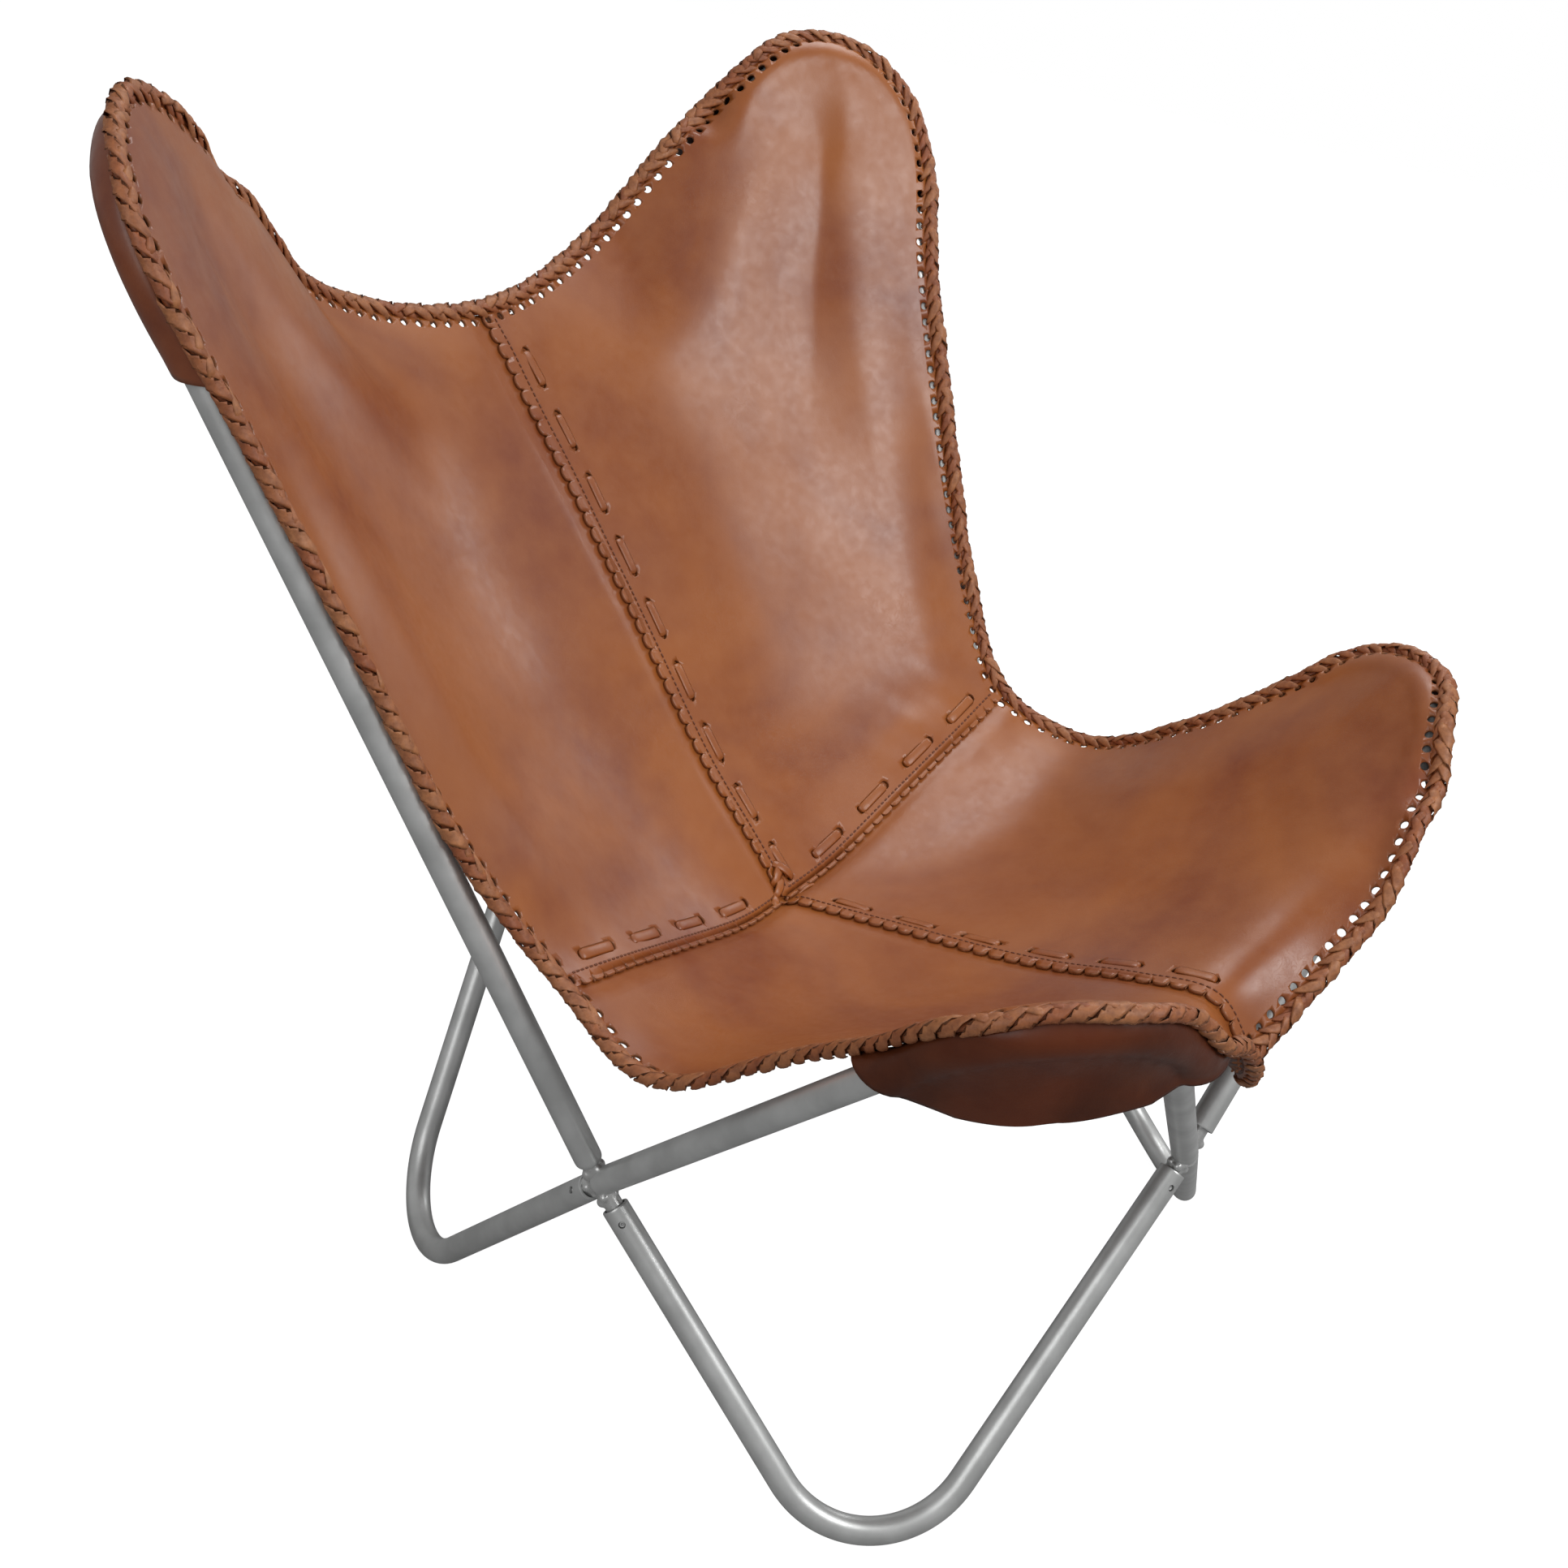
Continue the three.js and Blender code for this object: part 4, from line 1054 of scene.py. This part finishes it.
# Evens out a closed run of values
def evened(values, rounds):
    for _ in range(rounds):
        values = (values * 2 + np.roll(values, 1, axis=0) + np.roll(values, -1, axis=0)) / 4
    return values


# Centre, hole and frame of every lacing hole round the sling, at an even pitch
def lacingFrames(looks, perPitch=1):
    loops = [np.concatenate([left, right[::-1]])[::-1]
             for left, right in zip(halfEdge(1, looks), halfEdge(-1, looks))]
    loops = [np.concatenate([loop, loop[:1]]) for loop in loops]
    lengths = lengthsAlong(loops[0])
    count = int(round(lengths[-1] / looks["pitch"])) * perPitch
    centre, hole, up = (valuesAt(np.arange(count) * lengths[-1] / count, lengths, loop) for loop in loops)
    smooth = evened(centre, 2 * perPitch ** 2)
    tangent = unit(np.roll(smooth, -1, axis=0) - np.roll(smooth, 1, axis=0))
    out = evened(centre - hole, looks["frameRounds"] * perPitch ** 2)
    out = squareTo(tangent, out)
    size, out = sizeOf(out), unit(out)
    normal = np.cross(out, tangent)
    normal *= np.where(dot(normal, up) < 0, -1, 1)[:, None]
    return {"centre": smooth, "hole": hole, "holeUp": unit(up), "along": tangent, "out": out, "up": normal,
            "size": size}


# A closed oval cord under the wraps
def makeCore(name, frames, looks):
    halfWidth, halfHeight = looks["halfWidth"] * looks["coreShare"], looks["halfHeight"] * looks["coreShare"]
    cos, sin = circle(looks["coreSides"])
    ring = (cos[None, :, None] * frames["out"][:, None] * halfWidth
            + sin[None, :, None] * frames["up"][:, None] * halfHeight)
    verts = (frames["centre"][:, None] + ring).reshape(-1, 3)
    piece = meshPiece(name, verts, ringFaces(len(ring), looks["coreSides"], True), [thong])
    turnOutwards(piece)
    return piece


# Two wraps for each hole: one comes up through the hole, one over the back, and both run to the crest
def makeLacing(holes, looks):
    doubled = lacingFrames(looks, 2)
    between = {key: value[1::2] for key, value in doubled.items()}
    pieces = [makeCore("lacingCore", doubled, looks)]
    for name, frames in (("fromHole", holes), ("fromBack", between)):
        wrap, count = looks[name], len(frames["size"])
        path = [(x * looks["pitch"], y, z) for x, y, z in wrap["path"]]
        ups = [(0, y / looks["halfWidth"] ** 2, max(z, wrap["leastUp"]) / looks["halfHeight"] ** 2)
               for _, y, z in path]
        chance = np.random.default_rng(wrap["seed"]).uniform(-1, 1, (4, count, 1))
        sizes = np.ones((count, 3))
        if name == "fromHole":
            reach = frames["size"] / (looks["holeInset"] + looks["centreReach"])
            sizes[:, 1] = np.clip(reach, *looks["reachRange"])
        shift = looks["wander"] * (frames["along"] * chance[0] + looks["wanderUp"] * frames["up"] * chance[1])
        along, up = (unit(frames[way] + looks["tilt"] * frames["out"] * chance[k])
                     for way, k in (("along", 2), ("up", 3)))
        shape = thongShape(name, path, wrap["widths"], looks["thickness"], ups)
        pieces.append(repeated(name + "Wraps", shape, frames["centre"] + shift, along, up, thong,
                               looks["unevenness"], sizes, wrap["seed"]))
    return joined("edgeLacing", pieces, thong)


laceHoles = lacingFrames(lacingLooks)
edgeLacing = makeLacing(laceHoles, lacingLooks)
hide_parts("edge_braid")
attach(edgeLacing, "root")
print("chair: edge lacing")

# Corner pockets.

pocketLooks = {
    "outerLength": {"back": 190.0, "front": 142.0},
    "sideLength": {"back": 190.0, "front": 178.0},
    "steps": 36,
    "middleBulge": {"back": 0.13, "front": 0.02},
    "sag": {"back": 9.0, "front": 52.0},
    "sagSpread": 0.7,
    "slack": 2.0,
    "clearance": 0.4,
    "shoulder": 30.0,
    "softPress": 6.0,
    "leastFacing": 0.4,
}


# Rows of a pocket from its middle line, under the tube and round its outside, up to the rim of the panel.
# Places are given as a reach outwards from the tube's centre line and a height in front of it.
def wrappedRows(reach, below, rimReach, rimBelow, looks):
    count = len(reach) - 1
    least = clearHeight + looks["clearance"]
    inside = np.clip(-reach[0] / looks["shoulder"], 0, 1)
    turnReach, turnBelow = np.maximum(reach[0], 0), below[0] + (-least - below[0]) * inside
    rimTurn, turn = np.arctan2(rimBelow, rimReach), np.arctan2(turnBelow, turnReach)
    turnAway, rimAway = np.hypot(turnReach, turnBelow), np.hypot(rimReach, rimBelow)
    straight = np.hypot(turnReach - reach[0], turnBelow - below[0])
    bent = np.abs(rimTurn - turn) * (turnAway + rimAway) / 2 + 1e-6
    meeting = straight / (straight + bent)
    for i in range(1, count + 1):
        share = i / count
        first = np.clip(share / np.maximum(meeting, 1e-6), 0, 1)
        second = np.clip((share - meeting) / (1 - meeting), 0, 1)
        away = turnAway + (rimAway - turnAway) * second
        away = np.where(second < 1, np.maximum(away, np.minimum(least, rimAway)), away)
        angle = turn + (rimTurn - turn) * second
        onBend = share > meeting
        reach[i] = np.where(onBend, away * np.cos(angle), reach[0] + (turnReach - reach[0]) * first)
        below[i] = np.where(onBend, away * np.sin(angle), below[0] + (turnBelow - below[0]) * first)


# A pocket lies behind its corner and wraps round the outside of the wing tube
def makePocket(panel, sideName, side, looks):
    edges = panelEdges[panel]
    end = edges["wing"]
    front = facing[end]
    shares = np.linspace(0, 1, looks["steps"] + 1)
    p, q = np.meshgrid(shares, shares, indexing="ij")
    bulge = looks["middleBulge"][end] * (np.cos(math.pi / 2 * p) * np.cos(math.pi / 2 * q)) ** 2
    acrossSpan, alongSpan = (looks[line][end] / edges[line] for line in ("outerLength", "sideLength"))
    across = 1 - acrossSpan * ((1 - p) * (1 + q) / 2 + bulge)
    along = 1 - alongSpan * ((1 - q) * (1 + p) / 2 + bulge)
    found = drapedSurface(panel, across, along, side)
    up = upFrom(panel, across, along, side)
    fromRim = np.sin(math.pi / 2 * (1 - p)) * np.sin(math.pi / 2 * (1 - q))
    layers = hideThickness + sling["layerGap"]
    sag = looks["sag"][end] * fromRim ** looks["sagSpread"]
    drop = layers + looks["slack"] * (1 - np.minimum(p, q)) + sag
    behind = found["height"] - drop / np.maximum(up @ front, looks["leastFacing"])
    under = -heightOver(found["past"], found["distance"], found["outside"])
    below = -softMax(-behind, -under, looks["softPress"] * fromRim)
    reach = np.where(found["outside"], found["distance"], -found["distance"])
    rimReach, rimHeight = reach.copy(), found["height"] - layers
    line = looks["steps"] // 2
    wrappedRows(reach[:, line:].T, below[:, line:].T, rimReach[:, -1], rimHeight[:, -1], looks)
    wrappedRows(reach[line:], below[line:], rimReach[-1], rimHeight[-1], looks)
    points = mirror(found["at"] + found["out"] * reach[..., None] + front * below[..., None], side)
    normals = unit(np.cross(np.gradient(points, axis=0), np.gradient(points, axis=1)))
    if np.sum(normals * mirror(front, side)) < 0:
        normals = -normals
    # The pocket's outer side gets the darker copy of the hide, which is painted shade
    piece = sheetPiece(f"{sideName}{end.title()}Pocket", points, normals, [flesh, shadedPocketHides[end], hideEdge])
    declareLeather(piece, sideName, f"{end}_pocket")
    return piece


pockets = [makePocket(panel, sideName, side, pocketLooks)
           for panel in panelEdges for sideName, side in sideSigns.items()]
print("chair: corner pockets")

# Punched holes.

for (sideName, panel), (piece, points) in panels.items():
    declareLeather(piece, sideName, f"{panel}_panel")
holeWays = (laceHoles["along"], laceHoles["holeUp"])
cutOut([piece for piece, _ in panels.values()], "lacePunches",
       punchShape(lacingLooks["holeRadius"], lacingLooks["punchDepth"]), laceHoles["hole"], *holeWays)
cutOut(pockets, "deepPunches", punchShape(lacingLooks["pocketHoleRadius"], lacingLooks["pocketPunchDepth"]),
       laceHoles["hole"] + laceHoles["out"] * lacingLooks["pocketHoleShift"], *holeWays)
print("chair: punched holes")

# Scalloped lap edges.

scallopLooks = {
    "pitch": 13.4,
    "tip": 4.6,
    "cusp": -0.6,
    "roundness": 0.4,
    "depth": 7.0,
    "far": 12.0,
    "arcSteps": 9,
    "overlap": 0.03,
}


# The waste outside one scallop: everything past its round edge
def scallopWaste(looks):
    half, steps = looks["pitch"] / 2, looks["arcSteps"]
    rise = looks["tip"] - looks["cusp"]
    arc = [(half * t, looks["cusp"] + rise * (1 - t * t) ** looks["roundness"])
           for t in np.linspace(-1, 1, steps)]
    wide = half + looks["overlap"]
    arc[0], arc[-1] = (-wide, arc[0][1]), (wide, arc[-1][1])
    plan = arc + [(wide, looks["far"]), (-wide, looks["far"])]
    count, middle = len(plan), steps // 2
    verts = [(x, y, z) for z in (-looks["depth"], looks["depth"]) for x, y in plan]
    faces = ringFaces(2, count)[:count]
    for level in (0, count):
        left, right = level + count - 1, level + count - 2
        faces += [(level + k, level + k + 1, left if k < middle else right) for k in range(steps - 1)]
        faces.append((level + middle, right, left))
    return shapeObject("scallopWaste", verts, faces)


# A line on the hide next to a lap: the seam runs away from the low point, the waist runs outwards
def lapLine(panel, side, onWaist, inset, distances):
    seamLength = panelEdges[panel]["seamLength"]
    if onWaist:
        return hideSurface(panel, side, np.abs(distances) / waistLength, inset / seamLength)
    return hideSurface(panel, side, inset / waistLength, np.abs(distances) / seamLength)


# Places beside a lap with their two ways: along the lap and up from the hide
def lapFrames(panel, side, onWaist, inset, distances, lift=0.0):
    step = 0.8
    points, ups = lapLine(panel, side, onWaist, inset, distances)
    ahead, _ = lapLine(panel, side, onWaist, inset, distances + step)
    inner, _ = lapLine(panel, side, onWaist, inset + step, distances)
    ups, along = unit(ups), unit(ahead - points)
    turn = dot(np.cross(ups, along), points - inner)
    along = np.where((turn < 0)[:, None], -along, along)
    return points + ups * lift, along, ups


def scallopEdge(piece, lap, length, looks):
    count = int(round(length / looks["pitch"]))
    points, along, ups = lapFrames(*lap, 0.0, (np.arange(count) + 0.5) * length / count)
    points = np.concatenate([points[:1] - (points[1:2] - points[:1]), points])
    along, ups = np.concatenate([along[:1], along]), np.concatenate([ups[:1], ups])
    sizes = np.ones((count + 1, 3)) * (length / count / looks["pitch"], 1, 1)
    for pick in (slice(0, None, 2), slice(1, None, 2)):
        cutOut([piece], "scallopCutter", waste, points[pick], along[pick], ups[pick], sizes=sizes[pick])


waste = scallopWaste(scallopLooks)
# The upper panel of each lap with its side and whether the lap is at the waist, and the lap's name
laps = {
    ("back", 1, False): "back_seam",
    ("seat", 1, False): "seat_seam",
    ("back", 1, True): "left_waist",
    ("back", -1, True): "right_waist",
}
sideNames = {side: name for name, side in sideSigns.items()}
lapPieces = {lap: panels[sideNames[lap[1]], lap[0]][0] for lap in laps}
lapLengths = {lap: waistLength if lap[2] else panelEdges[lap[0]]["seamLength"] for lap in laps}
for lap in laps:
    scallopEdge(lapPieces[lap], lap, lapLengths[lap], scallopLooks)
print("chair: scalloped laps")

# Seam thongs and machine stitching.

thongStitches = {
    "pitch": {"seat": 58.0, "waist": 66.0},
    "length": {"seam": 31.0, "waist": 37.0},
    "inset": {"seam": 14.0, "waist": 13.5},
    "halfWidth": 4.4,
    "endWidths": (3.4, 3.9),
    "thickness": 0.66,
    "rise": 0.25,
    "endPath": [(0.6, -2.2), (1.6, -0.6)],
    "endUps": [(-1, 0, 0.6), (-0.9, 0, 1), (-0.2, 0, 1), (0, 0, 1)],
    "shoulder": (4.0, 0.8),
    "flatShare": 0.4,
    "firstFromLow": {"back": 26.0, "seat": 54.0, "waist": 68.0},
    "count": {"back": 9, "seat": 6, "waist": 4},
    "topMargin": 54.0,
    "holeFromEnd": 1.2,
    "holeRadius": 3.9,
    "holeSides": 16,
    "unevenness": 0.05,
}
machineStitches = {
    "pitch": 5.0,
    "inset": 5.0,
    "length": 3.7,
    "halfWidth": 0.75,
    "endShare": 0.7,
    "thickness": 0.35,
    "lift": 0.3,
    "sink": 0.5,
    "flatShare": 0.6,
    "endTilt": 0.5,
    "first": 9.0,
    "lastMargin": 8.0,
    "unevenness": 0.04,
}


# A thong that dips into the hide at both ends; the second half mirrors the first
def stitchThong(looks, line):
    half, top = looks["length"][line] / 2, looks["rise"]
    shoulder, shoulderRise = looks["shoulder"]
    path = [(x - half, 0, z) for x, z in looks["endPath"]]
    path += [(shoulder - half, 0, top * shoulderRise), (-half * looks["flatShare"], 0, top)]
    path, ups = (run + [(-x, y, z) for x, y, z in run[::-1]] for run in (path, looks["endUps"]))
    widths = [*looks["endWidths"], looks["halfWidth"], looks["halfWidth"]]
    return thongShape("seamThong", path, widths + widths[::-1], looks["thickness"], ups)


def threadStitch(looks):
    half, rise, width = looks["length"] / 2, looks["lift"], looks["halfWidth"]
    flat, sink, tilt = half * looks["flatShare"], looks["sink"], looks["endTilt"]
    path = [(-half, 0, -sink), (-flat, 0, rise), (flat, 0, rise), (half, 0, -sink)]
    widths = [width * looks["endShare"], width, width, width * looks["endShare"]]
    ups = [(-tilt, 0, 1), (0, 0, 1), (0, 0, 1), (tilt, 0, 1)]
    return thongShape("threadStitch", path, widths, looks["thickness"], ups)


def seamDistances(panel, onWaist, looks):
    key = "waist" if onWaist else panel
    count, first = looks["count"][key], looks["firstFromLow"][key]
    if key == "back":
        return np.linspace(first, panelEdges["back"]["seamLength"] - looks["topMargin"], count)
    return first + looks["pitch"][key] * np.arange(count)


thongShapes = {line: stitchThong(thongStitches, line) for line in ("seam", "waist")}
stitch = threadStitch(machineStitches)
thongPunch = punchShape(thongStitches["holeRadius"], lacingLooks["punchDepth"], thongStitches["holeSides"])


def makeSeamStitches(lap, looks, sewingLooks):
    panel, _, onWaist = lap
    line = "waist" if onWaist else "seam"
    middles, inset = seamDistances(panel, onWaist, looks), looks["inset"][line]
    half = looks["length"][line] / 2 - looks["holeFromEnd"]
    cutOut([lapPieces[lap]], "thongPunches", thongPunch,
           *lapFrames(*lap, inset, np.concatenate([middles - half, middles + half])))
    place, part = laps[lap].split("_")
    name = place + part.capitalize()
    thongs = repeated(name + "Thongs", thongShapes[line], *lapFrames(*lap, inset, middles, surfaceLift),
                      hide, looks["unevenness"])
    last = lapLengths[lap] - sewingLooks["lastMargin"]
    places = np.arange(sewingLooks["first"], last, sewingLooks["pitch"])
    sewing = repeated(name + "Sewing", stitch, *lapFrames(*lap, sewingLooks["inset"], places, surfaceLift),
                      thread, sewingLooks["unevenness"])
    for made in (thongs, sewing):
        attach(made, "root")
    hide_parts(f"{laps[lap]}_lace")


for lap in laps:
    makeSeamStitches(lap, thongStitches, machineStitches)
print("chair: seam thongs and stitching")

# Crossings, welds and grub screws.

crossingLooks = {
    "rodRadius": 6.8,
    "rodSides": 28,
    "rodOverlap": 2.0,
    "insertion": 20.0,
    "collarLumps": 9,
    "collarPlace": (8.0, 13.0),
    "lumpRadius": (3.0, 4.6),
    "lumpSink": 1.2,
    "voxel": 0.8,
    "smoothRounds": 3,
    "smoothFactor": 0.6,
    "firstSeed": 20,
}
screwLooks = {
    "setback": 12.0,
    "radius": 2.2,
    "holeRadius": 2.6,
    "holeDepth": 2.5,
    "holeSides": 20,
    "holeSink": 1.0,
    "sink": 1.6,
    "length": 3.2,
    "bevel": 0.3,
    "tipShare": 0.8,
    "faceShare": 0.86,
    "socketRadius": 1.05,
    "socketDepth": 1.4,
    "sides": 12,
}


# A way that no rod of the frame runs along
slantedWay = (0.3, 0.5, 0.8)


def sidewaysOf(way):
    u = unit(np.cross(way, slantedWay))
    return u, np.cross(way, u)


def addRod(work, start, end, radius, sides):
    u, v = sidewaysOf(unit(end - start))
    cos, sin = circle(sides)
    ring = radius * (cos[:, None] * u + sin[:, None] * v)
    verts = [work.verts.new(p) for p in toMetres(np.concatenate([start + ring, end + ring])).tolist()]
    for face in ringFaces(2, sides):
        work.faces.new([verts[i] for i in face])


# Rods into the four tube ends and a lumpy weld where they meet
def makeCrossing(name, centre, arms, seed, looks):
    rng = np.random.default_rng(seed)
    work = bmesh.new()
    for way, standoff in arms:
        addRod(work, centre - way * looks["rodOverlap"], centre + way * (standoff + looks["insertion"]),
               looks["rodRadius"], looks["rodSides"])
    for way, _ in arms:
        u, v = sidewaysOf(way)
        for turn in rng.uniform(0, 2 * math.pi, looks["collarLumps"]):
            out = (math.cos(turn) * u + math.sin(turn) * v) * (looks["rodRadius"] - looks["lumpSink"])
            place = toMetres(centre + way * rng.uniform(*looks["collarPlace"]) + out).tolist()
            matrix = Matrix.Translation(place) @ Matrix.Scale(rng.uniform(*looks["lumpRadius"]) / 1000, 4)
            bmesh.ops.create_icosphere(work, subdivisions=2, radius=1.0, matrix=matrix)
    mesh = bpy.data.meshes.new(name)
    work.to_mesh(mesh)
    work.free()
    mesh.materials.append(weldSteel)
    piece = newObject(name, mesh)
    remesh = piece.modifiers.new("blend", "REMESH")
    remesh.mode, remesh.voxel_size, remesh.use_smooth_shade = "VOXEL", looks["voxel"] / 1000, True
    smooth = piece.modifiers.new("smooth", "CORRECTIVE_SMOOTH")
    smooth.iterations, smooth.factor = looks["smoothRounds"], looks["smoothFactor"]
    smooth.use_only_smooth = True
    applyModifiers(piece)
    return piece


def armWay(path, atSide, side):
    return mirror(-path["toStart" if atSide else "toEnd"], side)


# The way and the standoff of each tube that leaves a crossing
def crossingArms(crossing):
    atSide = crossing in sideSigns
    places = [(crossing, end) if atSide else (end, crossing) for end in (ends if atSide else sideSigns)]
    return [(armWay(paths[end], atSide, sideSigns[name]), standoffOf(kind, name, end, atSide))
            for kind, paths in (("leg", legs), ("wing", wings)) for name, end in places]


def standoffOf(kind, sideName, end, atSide):
    return (tubeEnds[kind]["side"][end] if atSide else tubeEnds[kind]["middle"][sideName])[0]


crossingPlaces = {"front": crossings["front"], "back": crossings["back"],
                  "left": crossings["side"], "right": mirror(crossings["side"], -1)}
for seed, (crossing, place) in enumerate(crossingPlaces.items(), crossingLooks["firstSeed"]):
    piece = makeCrossing(f"{crossing}Crossing", place, crossingArms(crossing), seed, crossingLooks)
    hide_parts(f"{crossing}_crossing")
    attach(piece, "root")


# Places of the grub screws on one leg: near each end, on the outer upper face
def screwPlaces(sideName, end, looks):
    places = []
    for atSide, crossing in ((True, sideName), (False, end)):
        way = armWay(legs[end], atSide, sideSigns[sideName])
        centre = crossingPlaces[crossing]
        outward = unit(squareTo(way, unit(centre * (1, 1, 0)) + (0, 0, 1)))
        reach = standoffOf("leg", sideName, end, atSide) + looks["setback"]
        places.append((centre + way * reach + outward * chair["tubeRadius"], way, outward))
    return [np.array(values) for values in zip(*places)]


def grubScrew(looks):
    outer, inner, length, bevel = (looks[key] for key in ("radius", "socketRadius", "length", "bevel"))
    rings = [(outer * looks["tipShare"], -length), (outer, bevel - length), (outer, -bevel),
             (outer * looks["faceShare"], 0.0), (inner, 0.0), (inner, -looks["socketDepth"])]
    verts = [(radius * x, radius * y, z) for radius, z in rings for x, y in zip(*circle(looks["sides"]))]
    return shapeObject("grubScrew", verts, ringFaces(len(rings), looks["sides"]))


screwPunch = punchShape(screwLooks["holeRadius"], screwLooks["holeDepth"], screwLooks["holeSides"])
seats = {key: screwPlaces(*key, screwLooks) for key in legTubes}
for key, piece in legTubes.items():
    at, way, out = seats[key]
    cutOut([piece], "screwPunches", screwPunch, at - out * screwLooks["holeSink"], way, out, tubeSteel)
    sharpenBy(piece, tubeLooks["sharpAbove"])
at, way, out = (np.concatenate(values) for values in zip(*seats.values()))
screws = repeated("legGrubScrews", grubScrew(screwLooks), at - out * screwLooks["sink"], way, out, rodSteel)
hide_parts(*[f"{sideName}_{end}_leg_screw_{k}" for sideName, end in legTubes for k in (1, 2)])
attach(screws, "root")
print("chair: crossings and grub screws")

# Short ties knotted over the place where the four panels meet, each a start, an end and a rise in millimetres
centreTies = {
    "ties": [((-7, 13), (15, 27), 3.6), ((4, 30), (17, 8), 4.6), ((-12, 4), (8, 16), 2.6),
             ((10, -3), (34, -6), 2.8), ((-30, -4), (-10, 5), 2.4)],
    "steps": 9,
    "halfWidth": 4.2,
    "endShare": 0.7,
    "thickness": 0.8,
    "sink": 2.0,
    "roundness": 0.45,
}


def tieShape(name, start, end, rise, looks):
    shares = np.linspace(0, 1, looks["steps"])
    x, y = (np.array(start) + (np.array(end) - start) * shares[:, None]).T
    across, along = np.abs(x) / waistLength, np.abs(y) / panelEdges["back"]["seamLength"]
    found = [hideSurface("back" if y[i] > 0 else "seat", 1, across[i], along[i]) for i in range(len(shares))]
    flip = np.where((x > 0)[:, None], 1, (-1, 1, 1))
    points, ups = (np.array(values) * flip for values in zip(*found))
    arch = np.sin(math.pi * shares)
    lift = -looks["sink"] + (rise + looks["sink"]) * arch ** looks["roundness"]
    widths = looks["halfWidth"] * (looks["endShare"] + (1 - looks["endShare"]) * arch)
    points = points + unit(ups) * lift[:, None] - (0, chair["middleY"], 0)
    return thongShape(name, points, widths, looks["thickness"], ups)


ties = [tieShape(f"centreTie{k}", *tie, centreTies) for k, tie in enumerate(centreTies["ties"])]
piece = joined("centreTies", ties, hide)
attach(piece, "root")
print("chair: centre ties")
